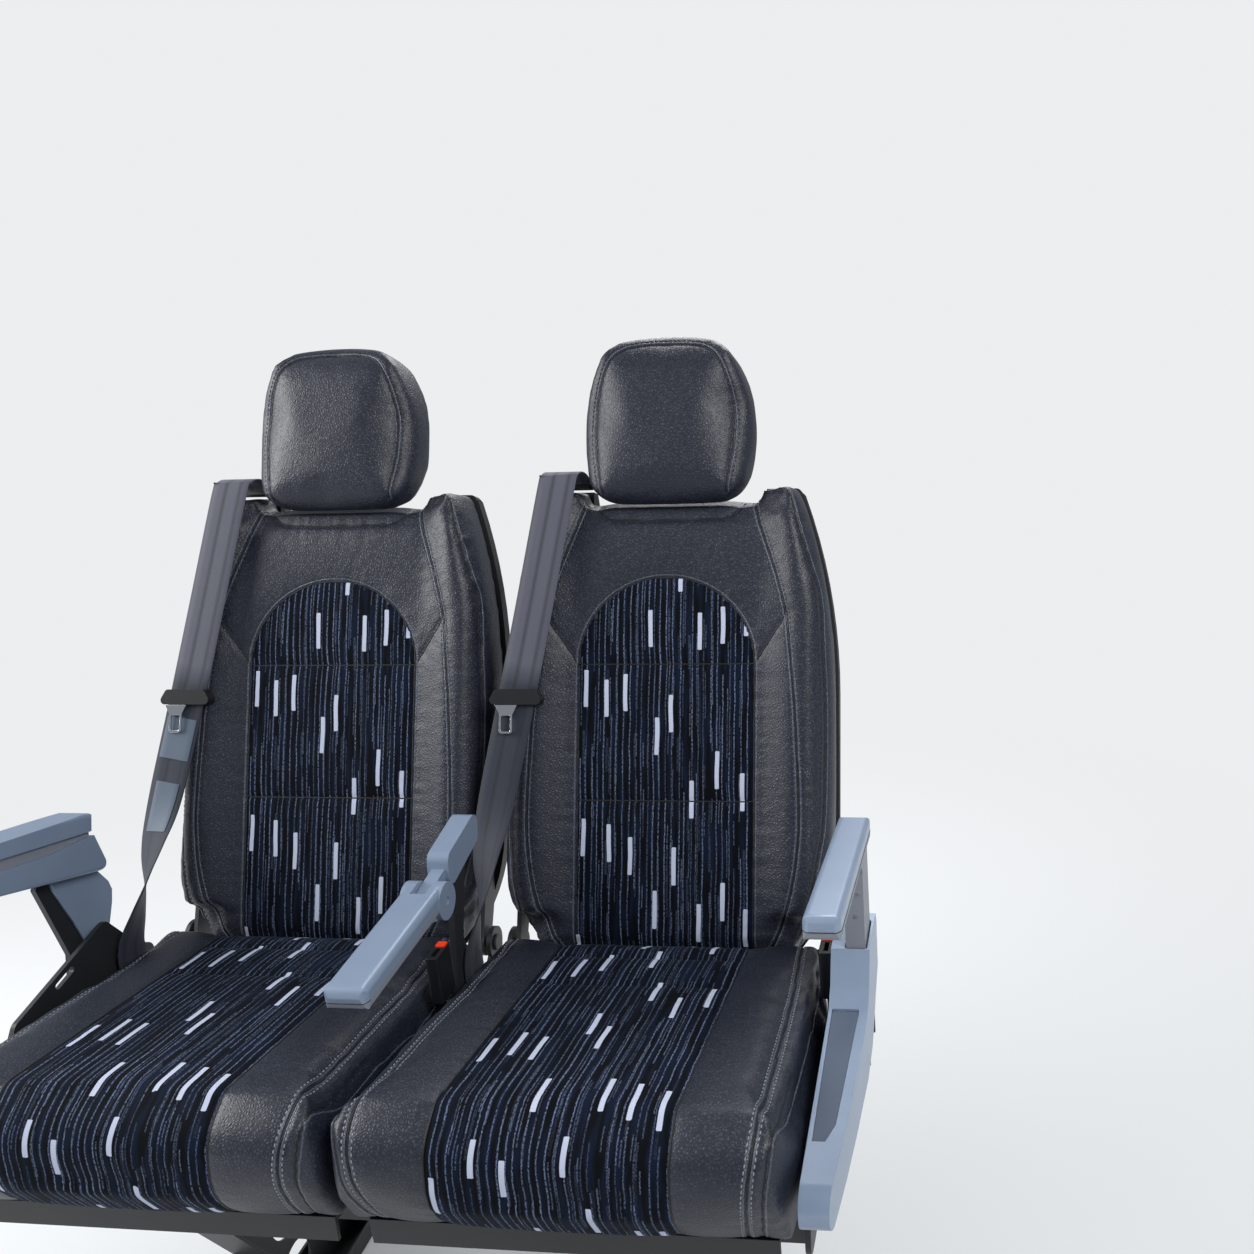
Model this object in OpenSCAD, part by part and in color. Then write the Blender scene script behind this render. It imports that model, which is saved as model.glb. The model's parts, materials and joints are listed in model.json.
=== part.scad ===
// Twin passenger seat of a touring coach: a window seat and an aisle seat on one
// floor frame. +X points to the aisle, +Y to the rear and +Z up, so the seats face -Y.
// The origin is on the floor, at the middle of the four floor bolts.

/* [Seat cushions] */
// Width of a cushion at its nose
cushion_w = 454; // [430:1:520]
// Gap between the two cushions
seat_gap = 3; // [2:1:12]
// How much each side of a cushion draws in towards its rear end
cushion_taper = 13; // [4:1:20]
// Depth of a cushion from the line where it meets the back to its nose
cushion_depth = 465; // [440:1:500]
// Rise of the top face from that line to the nose
cushion_rise = 54; // [40:1:66]
// Thickness of a cushion at its nose
cushion_t = 144; // [120:1:160]
// Radius of the nose
nose_r = 48; // [30:1:55]
// Height above the floor of the line where cushion and back meet
junction_z = 435; // [400:1:490]
// Distance of that line behind the middle of the floor bolts
junction_y = 190; // [180:1:200]

/* [Backs] */
// Lean of the backs from the vertical, in degrees
back_lean = 21; // [18:0.5:24]
// How much each side of a back stands in from the cushion's side
back_inset = 9; // [8:1:14]
// Height of the shoulders above the junction line, along the back
back_h = 578; // [500:1:650]
// How much each shoulder draws in from the back's full width
shoulder_inset = 50; // [30:1:60]
// Thickness of the padded front of a back
back_pad_t = 64; // [55:1:80]
// Thickness of the moulded rear shell
shell_t = 26; // [20:1:36]
// How far the side bolsters stand in front of the middle of the back
bolster = 18; // [8:1:24]

/* [Headrests] */
// Width of a headrest
headrest_w = 228; // [200:1:250]
// Height of a headrest
headrest_h = 218; // [190:1:250]
// Depth of the notch in the back's top that the headrest sits in
headrest_notch = 22; // [10:1:30]

/* [Frame] */
// Side of the square cross beams
beam = 40; // [30:1:50]
// Wall of the cross beams
beam_wall = 3; // [2:0.5:5]
// Distance between the middles of the two legs
leg_spacing = 460; // [400:1:600]
// Distance between the front and rear floor bolts of a leg
foot_bolts = 300; // [240:1:320]
// Diameter of a floor bolt hole
foot_hole_d = 11; // [9:0.5:13]
// Thickness of the pressed steel of the legs
leg_t = 4; // [3:0.5:6]
// Thickness of the seat pans
pan_t = 8; // [5:0.5:12]
// Diameter of the recline pins
recline_pin_d = 12; // [10:0.5:16]

/* [Armrests] */
// Width of the centre armrest
centre_pad_w = 47; // [40:1:55]
// Width of the aisle armrest
aisle_pad_w = 36; // [32:1:40]
// Width of the window armrest
window_pad_w = 45; // [40:1:52]
// Diameter of the armrest pivot pins
arm_pin_d = 10; // [8:0.5:12]
// How far the aisle armrest sinks into the end shell
aisle_travel = 92; // [60:1:98]

/* [End shell] */
// Width of the end shell beside the aisle seat
end_shell_w = 44; // [40:1:52]
// Wall of the end shell
end_shell_wall = 3; // [2:0.5:4]

/* [Seat belts] */
// Width of the webbing
webbing_w = 50; // [46:1:52]
// Thickness of the webbing
webbing_t = 2; // [1.2:0.1:2.5]

/* [Hidden] */
$fn = 64;

// Clearances: between neighbours, in a running pin, in a fork and at a moving piece
gap = 0.3;
pin_play = 0.05;
fork_play = 1;
run_gap = 5;
eps = 0.01;
// Reach past a solid for cuts, and a height above all of them
over = 1;
beyond = 2 * junction_z;

window = -1;
aisle = 1;

black = "#26282c";
steel_dark = "#3a3d40";
silver = "#b4bcc4";
fabric = "#20242f";

seat_pitch = cushion_w + seat_gap;
back_w = cushion_w - 2 * back_inset;
nose_y = junction_y - cushion_depth;
nose_z = junction_z + cushion_rise;
cushion_base = nose_z - cushion_t;
beam_top = cushion_base - gap - pan_t;
beam_z = beam_top - beam;
front_beam_in = 125;
rear_beam_in = 60;
front_beam_y = nose_y + front_beam_in;
rear_beam_y = junction_y - rear_beam_in;
end_plate_t = 6;
end_plate_room = 2.5;
end_plate_x = seat_pitch / 2 + cushion_w / 2 + end_plate_room;

// Points of an arc from angle a0 to a1, in degrees
function arc(cx, cy, r, a0, a1, n = 8) =
    [for (i = [0:n]) let (a = a0 + (a1 - a0) * i / n) [cx + r * cos(a), cy + r * sin(a)]];

// Direction of the outward normal on the line that touches circles p and q, each
// [x, y, radius], when the outline runs anticlockwise from p to q
function touch(p, q) =
    let (d = [q.x - p.x, q.y - p.y])
    atan2(d.y, d.x) - acos((p[2] - q[2]) / norm(d));

// Convex outline round a ring of circles, given anticlockwise
function rounded(c, n = 8) = [
    for (i = [0:len(c) - 1])
        let (
            k = len(c),
            a0 = touch(c[(i + k - 1) % k], c[i]),
            raw = touch(c[i], c[(i + 1) % k]) - a0,
            turn = raw - 360 * floor(raw / 360)
        )
        each arc(c[i].x, c[i].y, c[i][2], a0, a0 + turn, n)
];

// Rectangle between two corners, its lower corners rounded by r0 and its upper ones by r1
function soft_box(a, b, r0, r1) = rounded([
    [a.x + r0, a.y + r0, r0], [b.x - r0, a.y + r0, r0], [b.x - r1, b.y - r1, r1], [a.x + r1, b.y - r1, r1]]);

// A (y, z) outline made a plate of width w from x
module plate(x, w) {
    translate([x, 0, 0]) rotate([90, 0, 90]) linear_extrude(w) children();
}

// An (x, z) outline drawn out along Y from y0 to y1
module bar(y0, y1) {
    translate([0, y1, 0]) rotate([90, 0, 0]) linear_extrude(y1 - y0) children();
}

// A square-cornered block between two corners
module block(a, b) {
    translate(a) cube(b - a);
}

function seat_x(side) = side * seat_pitch / 2;

// The frame of a back: X across, Y behind the front plane, Z along the back
module on_back(side) {
    translate([seat_x(side), junction_y, junction_z]) rotate([-back_lean, 0, 0]) children();
}

function back_y(s, off) = junction_y + s * sin(back_lean) + off * cos(back_lean);
function back_z(s, off) = junction_z + s * cos(back_lean) - off * sin(back_lean);

// Recline hinge, in the back's own frame, and the pieces beside it: from the middle
// between the seats come pin head, bracket, running gap and arm
hinge_s = -28;
hinge_off = 45;
hinge_y = back_y(hinge_s, hinge_off);
hinge_z = back_z(hinge_s, hinge_off);
hinge_room = 8;
pin_head_t = 3;
arm_t = 6;
bracket_t = 6;
bracket_x = seat_pitch / 2 - hinge_room - pin_head_t - gap - bracket_t;
arm_x = bracket_x - run_gap - arm_t;
boss_r = 21;

// Pedestal leg: a pressed plate with flanged edges on a channel foot, a saddle on top
foot_w = 70;
foot_end = 30;
foot_l = foot_bolts + 2 * foot_end;
foot_lip = 24;
foot_toe = 40;
waist_half = 78;
waist_z = 0.5 * beam_z;
flange_w = 44;
saddle_front = front_beam_y - beam / 2 - 5;
saddle_rear = rear_beam_y + beam / 2 + 5;
saddle_lip = 6;
saddle_z = beam_z - leg_t;
// Lightening holes: height as a part of the beam's height, and radius
leg_holes = [[0.21, 30], [0.5, 38]];
// Upper windows beside the middle: place from the middle and radius of the two ends
window_end = [[64, 0.72, 16], [78, 0.88, 20]];
leg_edge = [
    [foot_l / 2 - foot_toe, leg_t - eps], [waist_half, waist_z], [saddle_rear - saddle_lip, saddle_z + eps]];

// Leg edge at one end, -1 front or 1 rear: foot, waist and saddle
function leg_edge_at(end) = [
    [end * leg_edge[0].x, leg_edge[0].y], [end * leg_edge[1].x, leg_edge[1].y],
    [end < 0 ? saddle_front + saddle_lip : leg_edge[2].x, leg_edge[2].y],
];

// One flanged edge of the pressed plate, from a to b, inwards by its thickness
module leg_flange(a, b, inward) {
    polygon([a, b, b + [inward * leg_t, 0], a + [inward * leg_t, 0]]);
}

module leg(side) {
    x = side * leg_spacing / 2;
    front = leg_edge_at(-1);
    rear = leg_edge_at(1);
    color(steel_dark) union() {
        difference() {
            union() {
                block([x - foot_w / 2, -foot_l / 2, 0], [x + foot_w / 2, foot_l / 2, leg_t]);
                for (s = [-1, 1])
                    translate([x + s * (foot_w - leg_t) / 2 - leg_t / 2, 15 - foot_l / 2, leg_t - eps])
                        cube([leg_t, foot_l - 30, foot_lip - leg_t]);
            }
            for (s = [-1, 1])
                translate([x, s * foot_bolts / 2, -over]) cylinder(d = foot_hole_d, h = leg_t + 2 * over);
        }
        plate(x - leg_t / 2, leg_t) difference() {
            polygon([front[0], rear[0], rear[1], rear[2], front[2], front[1]]);
            for (h = leg_holes)
                translate([0, h[0] * beam_z]) circle(r = h[1]);
            for (s = [-1, 1], low = window_end[0], high = window_end[1])
                hull_of_two([s * window_end[0].x, window_end[0].y * beam_z, window_end[0][2]],
                            [s * window_end[1].x, window_end[1].y * beam_z, window_end[1][2]]);
        }
        plate(x - flange_w / 2, flange_w) {
            leg_flange(front[0], front[1], 1);
            leg_flange(front[1], front[2], 1);
            leg_flange(rear[0], rear[1], -1);
            leg_flange(rear[1], rear[2], -1);
        }
        block([x - foot_w / 2, saddle_front, saddle_z], [x + foot_w / 2, saddle_rear, beam_z]);
    }
}

// Slot shape round two circles, each [x, y, radius]
module hull_of_two(p, q) {
    polygon(rounded(p.y < q.y ? [p, q] : [q, p]));
}

// Square cross beam between the end plates
beam_half = end_plate_x - gap;

module cross_beam(y) {
    color(steel_dark) difference() {
        block([-beam_half, y - beam / 2, beam_z], [beam_half, y + beam / 2, beam_top]);
        block([-beam_half - over, y - beam / 2 + beam_wall, beam_z + beam_wall],
              [beam_half + over, y + beam / 2 - beam_wall, beam_top - beam_wall]);
    }
}

// Plate that closes the beams' ends and carries what stands beside a seat
plate_corner = 14;
plate_rise = 78;
plate_front = nose_y + 97;
plate_holes = [nose_y + 180, nose_y + 245, nose_y + 310];
plate_hole_r = 13;
// Ear of the window-side plate, beside the rear of the cushion, and its slot. A strut on the
// same plate carries the window armrest
ear = [[nose_y + 205, junction_z + 10], [junction_y - 106, junction_z + 46]];
ear_r = 11;
ear_slot = 26;

module end_plate(side) {
    x = side > 0 ? end_plate_x : -end_plate_x - end_plate_t;
    color(steel_dark) {
        plate(x, end_plate_t) end_plate_face(side);
        if (side == window) window_strut();
    }
}

module end_plate_face(side) {
    difference() {
        union() {
            polygon(rounded([
                [plate_front, beam_z + plate_corner, plate_corner],
                [rear_beam_y + 22, beam_z + plate_corner, plate_corner],
                [rear_beam_y + 16, beam_top + plate_rise - 4, plate_corner],
                [nose_y + 315, beam_top + plate_rise, plate_corner],
                [plate_front + 13, beam_top + 20, plate_corner],
            ]));
            if (side == window)
                polygon(rounded([
                    [plate_front + 60, beam_top + 40, plate_corner],
                    [rear_beam_y, beam_top + plate_rise, plate_corner],
                    [ear[1].x, ear[1].y, ear_r], [ear[0].x, ear[0].y, ear_r],
                ]));
        }
        for (y = plate_holes)
            translate([y, beam_z + 26]) circle(r = plate_hole_r);
        if (side == window)
            translate((ear[0] + ear[1]) / 2) rotate(atan2(ear[1].y - ear[0].y, ear[1].x - ear[0].x))
                polygon(rounded([[-ear_slot / 2, -0.01, 4], [ear_slot / 2, 0, 4], [-ear_slot / 2, 0.01, 4]]));
    }
}

// Four plates behind the rear beam that hold the backs' pins
bracket_drop = 2;

module hinge_brackets() {
    front = rear_beam_y + beam / 2;
    color(steel_dark)
        for (side = [window, aisle], s = [-1, 1])
            plate(seat_x(side) + (s > 0 ? bracket_x : -bracket_x - bracket_t), bracket_t) difference() {
                union() {
                    polygon([[front, beam_z + bracket_drop], [front, beam_top - bracket_drop],
                             [hinge_y - boss_r + 2, hinge_z - boss_r / 2],
                             [hinge_y + boss_r - 2, hinge_z - boss_r / 2],
                             [front + 2.5 * boss_r, beam_z + bracket_drop]]);
                    translate([hinge_y, hinge_z]) circle(r = boss_r);
                }
                translate([hinge_y, hinge_z]) circle(d = recline_pin_d + 2 * pin_play);
            }
}

// Pressed pan with a turned-down front edge and three stiffening dishes
pan_half = back_w / 2 - 8;
pan_front = nose_y + 57;
pan_rear = junction_y - 42;
pan_lip = 22;
pan_lip_t = 5;
dish = [80, 204];
dish_r = 12;

module seat_pan(side) {
    x = seat_x(side);
    color(black) difference() {
        union() {
            block([x - pan_half, pan_front, beam_top], [x + pan_half, pan_rear, beam_top + pan_t]);
            block([x - pan_half, pan_front, beam_top - pan_lip],
                  [x + pan_half, pan_front + pan_lip_t, beam_top + eps]);
        }
        for (i = [-1, 0, 1])
            translate([x + i * 1.5 * dish.x, nose_y + 265, beam_top - over]) linear_extrude(pan_t - 2 + over)
                polygon(soft_box(-dish / 2, dish / 2, dish_r, dish_r));
    }
}

// Seat cushion: side outline over a round nose, plan drawn in to the rear, soft long edges
cushion_corner = 40;
cushion_edge = 18;
cushion_low_r = 15;
cushion_slope = atan(cushion_rise / (cushion_depth - nose_r));

module seat_cushion(side) {
    rear_half = cushion_w / 2 - cushion_taper;
    front_half = cushion_w / 2;
    rear_y = back_y(0, -3);
    side_outline = rounded([
        [nose_y + nose_r, nose_z - nose_r, nose_r],
        [nose_y + nose_r + 10, cushion_base + cushion_low_r, cushion_low_r],
        [rear_y - 38, cushion_base + 4, 4],
        [rear_y - 16, junction_z - 11, 10],
    ]);
    plan = rounded([
        [-front_half + cushion_corner, nose_y + cushion_corner, cushion_corner],
        [front_half - cushion_corner, nose_y + cushion_corner, cushion_corner],
        [front_half - 8, nose_y + 130, 8], [rear_half - 8, junction_y - 8, 8],
        [-rear_half + 8, junction_y - 8, 8], [-front_half + 8, nose_y + 130, 8],
    ]);
    color(fabric) intersection() {
        plate(seat_x(side) - front_half - over, cushion_w + 2 * over) polygon(side_outline);
        translate([seat_x(side), 0, 0]) linear_extrude(beyond) polygon(plan);
        // Long upper edges, rounded along the rising top face
        translate([seat_x(side), junction_y, junction_z + gap]) rotate([-cushion_slope, 0, 0])
            bar(-1.2 * cushion_depth, cushion_corner) polygon(soft_box(
                [-front_half - over, -2 * cushion_t], [front_half + over, 0], 1, cushion_edge));
    }
}

// Half outline of a back: an arc in to the lower corner, a long arc in to the shoulder
waist_s = 0.19 * back_h;
swell_s = 0.52 * back_h;
lower_inset = 28;
lower_r = (pow(waist_s, 2) + pow(lower_inset, 2)) / (2 * lower_inset);
shoulder_r = (pow(back_h - swell_s, 2) + pow(shoulder_inset, 2)) / (2 * shoulder_inset);
back_low_s = -35;
shoulder_corner = 8;

function back_half(s) =
    s < waist_s ? back_w / 2 - lower_r + sqrt(pow(lower_r, 2) - pow(waist_s - s, 2))
    : s > swell_s ? back_w / 2 - shoulder_r + sqrt(pow(shoulder_r, 2) - pow(s - swell_s, 2))
    : back_w / 2;

back_side = [
    for (i = [0:8]) let (s = back_low_s + (waist_s - back_low_s) * i / 8) [back_half(s), s],
    for (i = [0:9]) let (s = swell_s + (back_h - shoulder_corner - swell_s) * i / 9) [back_half(s), s],
    each arc(back_half(back_h) - shoulder_corner, back_h - shoulder_corner, shoulder_corner, 0, 90, 5),
];
back_outline = concat(back_side, [for (i = [len(back_side) - 1:-1:0]) [-back_side[i].x, back_side[i].y]]);

// Notch that the headrest sits in
notch_w = headrest_w + 12;
notch_s = back_h - headrest_notch;

module notch() {
    translate([-notch_w / 2, -back_pad_t, notch_s]) cube([notch_w, 4 * back_pad_t, headrest_h]);
}

// A back's outline made a slab from one depth behind the front plane to another
module back_slab(off0, off1) {
    bar(off0, off1) polygon(back_outline);
}

// Padded front of a back: bolsters at the sides, room for the frame's arms behind
bolster_in = 150;
bolster_out = back_w / 2 - 52;
bolster_fade = 125;
bolster_r = 18;
bolster_low = 14;
arm_room = 4;
arm_pocket = 22;

module back_pad(side) {
    half = back_w / 2;
    edge_off = bolster_r - bolster;
    section = concat(
        [[-half, back_pad_t], [-half, 6]],
        arc(bolster_r + 4 - half, edge_off, bolster_r, 180, 270, 5),
        [[-bolster_out, -bolster], [-bolster_in, -0.55 * bolster], [-bolster_fade, 0],
         [bolster_fade, 0], [bolster_in, -0.55 * bolster], [bolster_out, -bolster]],
        arc(half - bolster_r - 4, edge_off, bolster_r, 270, 360, 5),
        [[half, 6], [half, back_pad_t]]
    );
    color(fabric) on_back(side) difference() {
        intersection() {
            back_slab(-2 * bolster, back_pad_t);
            translate([0, 0, back_low_s - over]) linear_extrude(back_h - back_low_s + 2 * over)
                polygon(section);
        }
        notch();
        // The bolsters end above the cushion's rear edge
        block([-half, -2 * bolster, back_low_s - over], [half, 0, bolster_low]);
        for (s = [-1, 1])
            block([s > 0 ? arm_x - arm_room : -half, arm_pocket, back_low_s - over],
                  [s > 0 ? half : arm_room - arm_x, back_pad_t + over, waist_s]);
    }
}

// Moulded rear shell: chamfered towards its edge, with a recessed field
shell_chamfer = 9;
shell_chamfer_in = 14;
field_low = [150, 110, 24];
field_high = [118, back_h - 108, 30];
field_depth = 4;

module back_shell(side) {
    front = back_pad_t + gap;
    rear = front + shell_t;
    small = [for (p = back_outline)
        [p.x - shell_chamfer_in * sign(p.x),
         p.y > back_h / 2 ? p.y - shell_chamfer_in : p.y + shell_chamfer_in / 2]];
    color(black) on_back(side) difference() {
        union() {
            back_slab(front, rear - shell_chamfer);
            hull() {
                back_slab(rear - shell_chamfer - eps, rear - shell_chamfer);
                bar(rear - eps, rear) polygon(small);
            }
        }
        notch();
        bar(rear - field_depth, rear + over) polygon(rounded([
            [-field_low.x, field_low.y, field_low[2]], [field_low.x, field_low.y, field_low[2]],
            [field_high.x, field_high.y, field_high[2]], [-field_high.x, field_high.y, field_high[2]]]));
    }
}

// Steel arms on the shell's front face, each with the pin that it turns on
arm_foot = [30, 96];

module recline_arms(side) {
    color(steel_dark) on_back(side)
        for (s = [-1, 1]) {
            plate(s > 0 ? arm_x : -arm_x - arm_t, arm_t) union() {
                translate([hinge_off, hinge_s]) circle(r = boss_r - 3);
                polygon([[hinge_off - 16, hinge_s + 8], [hinge_off + 12, hinge_s + 12],
                         [back_pad_t, arm_foot[0]], [back_pad_t, arm_foot[1]],
                         [back_pad_t - 14, arm_foot[1]], [hinge_off - 14, arm_foot[0]]]);
            }
            translate([s * (arm_x + arm_t - over), hinge_off, hinge_s]) rotate([0, s * 90, 0])
                cylinder(d = recline_pin_d, h = over + run_gap + bracket_t + gap + over);
            translate([s * (bracket_x + bracket_t + gap), hinge_off, hinge_s]) rotate([0, s * 90, 0])
                cylinder(r = boss_r / 2, h = pin_head_t);
        }
}

// Headrest pad: swelling sides over a narrow foot, an arched top, and a rear that is deepest
// low down, leaning a little over the nape
headrest_front = -36;
headrest_rear = 62;
side_r = 200;
widest = 0.4;
foot_r = 44;
crown_r = 56;
arch = 4;
face_r = 400;
face_corner_r = 44;
nape_corner_r = 34;

// Middle of a corner of radius r at height s that runs into the swelling side of radius side_r
function corner_x(half, s, mid, r) = half - side_r + sqrt(pow(side_r - r + 0.5, 2) - pow(s - mid, 2));

// Radius of the arch that rises by d over two corners of radius r at -x and x
function arch_r(x, r, d) = r + 0.97 * (x * x + d * d) / (2 * d);

module headrest(side) {
    s0 = notch_s + gap;
    s1 = s0 + headrest_h;
    half = headrest_w / 2;
    mid = s0 + widest * headrest_h;
    foot = [corner_x(half, s0 + foot_r + arch / 2, mid, foot_r), s0 + foot_r + arch / 2];
    crown = [corner_x(half, s1 - crown_r - arch, mid, crown_r), s1 - crown_r - arch];
    low_r = arch_r(foot.x, foot_r, arch / 2);
    top_r = arch_r(crown.x, crown_r, arch);
    front = rounded([[-foot.x, foot.y, foot_r], [0, s0 + low_r, low_r], [foot.x, foot.y, foot_r],
                     [half - side_r, mid, side_r], [crown.x, crown.y, crown_r], [0, s1 - top_r, top_r],
                     [-crown.x, crown.y, crown_r], [side_r - half, mid, side_r]]);
    side_view = rounded([[headrest_front + 40, s0 + 40, 40], [headrest_rear - 58, s0 + 28, 28],
                         [headrest_rear - 46, mid, 46], [headrest_rear - 50, s1 - 34, 34],
                         [headrest_front + 44, s1 - 38, 38]]);
    plan = rounded([
        [face_corner_r - half, headrest_front + face_corner_r + 4, face_corner_r],
        [0, headrest_front + face_r, face_r],
        [half - face_corner_r, headrest_front + face_corner_r + 4, face_corner_r],
        [half - nape_corner_r, headrest_rear - nape_corner_r, nape_corner_r],
        [nape_corner_r - half, headrest_rear - nape_corner_r, nape_corner_r]]);
    color(black) on_back(side) intersection() {
        bar(-2 * half, 2 * half) polygon(front);
        plate(-half - over, headrest_w + 2 * over) polygon(side_view);
        translate([0, 0, s0 - over]) linear_extrude(headrest_h + 2 * over) polygon(plan);
    }
}

// Bezel on the shoulder that the webbing leaves the back through
belt_x = -notch_w / 2 - 22;
slot_off = 40;
guide_t = 6;
guide_end = [33, 29];
guide_half = 9;
guide_r = 7;
slot_half = 3;

module belt_guide(side) {
    color(black) on_back(side) translate([belt_x, slot_off, back_h + gap]) difference() {
        linear_extrude(guide_t)
            polygon(soft_box([-guide_end[0], -guide_half], [guide_end[1], guide_half], guide_r, guide_r));
        block([-webbing_w / 2 - 1.5, -slot_half, -over], [webbing_w / 2 + 1.5, slot_half, guide_t + over]);
    }
}

// Route of the webbing: [across, behind the front plane, along the back, turn in degrees].
// Above, it starts from the guide; below, it hangs past the back's side at x = -side_x
side_x = back_w / 2;
anchor_x = seat_pitch / 2 - hinge_room;
belt_route = [
    [belt_x, slot_off, back_h + 1, 0],
    [belt_x, slot_off - 2, back_h + 11, 0],
    [belt_x, 22, back_h + 17, 0],
    [belt_x, 0, back_h + 16, 0],
    [belt_x - 0.5, -15, back_h + 8, 0],
    [belt_x - 2, -21, back_h - 8, 0],
    [50 - side_x, -24, 0.735 * back_h, 0],
    [28 - side_x, -26, 0.515 * back_h, 0],
    [6 - side_x, -33, 165, 4],
    [-side_x, -48, 100, 28],
    [2 - side_x, -60, 55, 55],
    [-side_x, -70, 15, 75],
    [-anchor_x + 0.5, -77, -24, 90],
    [-anchor_x, -60, -65, 90],
    [-anchor_x, -44, -100, 90],
];
tongue_at = belt_route[7];

// Direction of the route at point i
function route_dir(r, i) =
    let (a = r[max(i - 1, 0)], b = r[min(i + 1, len(r) - 1)], d = [b.x - a.x, b.y - a.y, b.z - a.z])
    d / norm(d);

// Corners of the strap's section at point i
function strap_ring(r, i) =
    let (
        t = route_dir(r, i),
        flat = [cos(r[i][3]), -sin(r[i][3]), 0],
        across = (flat - (flat * t) * t) / norm(flat - (flat * t) * t),
        up = cross(t, across),
        p = [r[i].x, r[i].y, r[i].z],
        a = across * webbing_w / 2,
        u = up * webbing_t / 2
    )
    [p - a - u, p + a - u, p + a + u, p - a + u];

module belt(side) {
    n = len(belt_route);
    points = [for (i = [0:n - 1]) each strap_ring(belt_route, i)];
    faces = concat(
        [[0, 1, 2], [0, 2, 3]],
        [for (i = [0:n - 2], k = [0:3])
            let (a = 4 * i + k, b = 4 * i + (k + 1) % 4)
            // Both faces of the ribbon fold along the same diagonal
            each k < 2 ? [[b, a, a + 4], [b, a + 4, b + 4]] : [[b, a, b + 4], [a, a + 4, b + 4]]],
        [[4 * n - 2, 4 * n - 3, 4 * n - 4], [4 * n - 1, 4 * n - 2, 4 * n - 4]]
    );
    color(steel_dark) on_back(side) polyhedron(points, faces, 10);
}

// Plastic stop round the webbing, and the steel latch plate that hangs from it
tongue_w = 68;
tongue_h = 20;
tongue_t = 15;
// Lean of the webbing across the stop
tongue_turn = 9;
latch_t = 2.4;
latch_front = -5.2;

module at_tongue(side) {
    on_back(side) translate([tongue_at.x, tongue_at.y, tongue_at.z]) children();
}

module belt_tongue(side) {
    half = tongue_w / 2;
    color(black) at_tongue(side) difference() {
        bar(-tongue_t / 2, tongue_t / 2) polygon(rounded([
            [6 - half, -4, 6], [half - 6, -4, 6],
            [half - 10, tongue_h / 2 - 5, 5], [10 - half, tongue_h / 2 - 5, 5]]));
        rotate([0, tongue_turn, 0]) block(
            [-webbing_w / 2 - 1.5, -2.2, -2 * tongue_h], [webbing_w / 2 + 1.5, 2.2, 2 * tongue_h]);
    }
}

module belt_latch(side) {
    root = 15;
    half = 9;
    low = 37;
    color("silver") at_tongue(side) translate([-12, latch_front, -tongue_h / 2 - gap])
        bar(-latch_t, 0) difference() {
            union() {
                polygon([[-root, 0], [-half, -12], [half, -12], [root, 0]]);
                polygon(soft_box([-half, -low], [half, -6], 4, 1));
            }
            polygon(soft_box([3 - half, 3 - low], [half - 3, -14], 2, 2));
        }
}

// Anchor plate beside the webbing's lower end, with the slot that the webbing is sewn round
anchor_t = 2.5;
anchor_rise = 48;
anchor_half = [20, 26];
stanchion_t = 8;

module belt_anchor(side) {
    webbing_side = seat_x(side) - anchor_x - webbing_t / 2 - 0.5;
    wall = side == aisle ? stanchion_t / 2 : -end_plate_x;
    y = back_y(-100, -44);
    top = beam_top + anchor_rise;
    color(steel_dark) union() {
        plate(webbing_side - anchor_t, anchor_t) difference() {
            polygon(rounded([[y - anchor_half[0], beam_top + 14, 7], [y + anchor_half[0], beam_top + 14, 7],
                             [y + anchor_half[1], top - 8, 7], [y - anchor_half[1], top - 8, 7]]));
            polygon(soft_box([y - anchor_half[1] - 1, top - 12], [y + anchor_half[1] + 1, top - 6], 2.9, 2.9));
        }
        translate([wall, y, beam_top + 20]) rotate([0, 90, 0])
            cylinder(r = 9, h = webbing_side - anchor_t / 2 - wall);
    }
}

// Buckle on a steel strap, its red button in the top
buckle_t = 16;
buckle_w = 40;
buckle_r = 5;
buckle_top = junction_z + 59;
buckle_low = junction_z - 1;
strap_t = 3;
strap_w = 24;
mouth = [5, 18, 30];
button = [12, 11, 12];

// Middle of a buckle, and the inner face of its strap, across the seat
function buckle_at(side) = side == aisle ? [end_plate_x - 2, junction_y - 118] : [0, junction_y - 151];
function strap_at(side) = side == aisle ? end_plate_x - gap - strap_t : -stanchion_t / 2 - gap - strap_t;

module buckle_spot(side) {
    translate([buckle_at(side).x, buckle_at(side).y, 0]) children();
}

module buckle(side) {
    size = [buckle_t, buckle_w];
    color(black) difference() {
        union() {
            buckle_spot(side) translate([0, 0, buckle_low]) linear_extrude(buckle_top - buckle_low)
                polygon(soft_box(-size / 2, size / 2, buckle_r, buckle_r));
            translate([strap_at(side), buckle_at(side).y - strap_w / 2, beam_top + 12])
                cube([strap_t, strap_w, buckle_low - beam_top - 10]);
        }
        // Mouth for the latch plate and the seat of the button
        buckle_spot(side) translate([-mouth.x / 2, -14, buckle_top - mouth.z]) cube(mouth + [0, 0, over]);
        buckle_spot(side) translate([-button.x / 2, 6, buckle_top - button.z]) cube(button + [0, 0, over]);
    }
}

module buckle_button(side) {
    color("#d8321c") buckle_spot(side) translate([gap - button.x / 2, 6 + gap, buckle_top - button.z])
        cube(button + [-2 * gap, -2 * gap, 1.5]);
}

// Moulded cover of the seat's aisle end: open below, with a housing for the armrest's post
shell_x = end_plate_x + end_plate_t + gap;
shell_out = shell_x + end_shell_w;
shell_rise = 70;
shell_top = junction_z + shell_rise;
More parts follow.
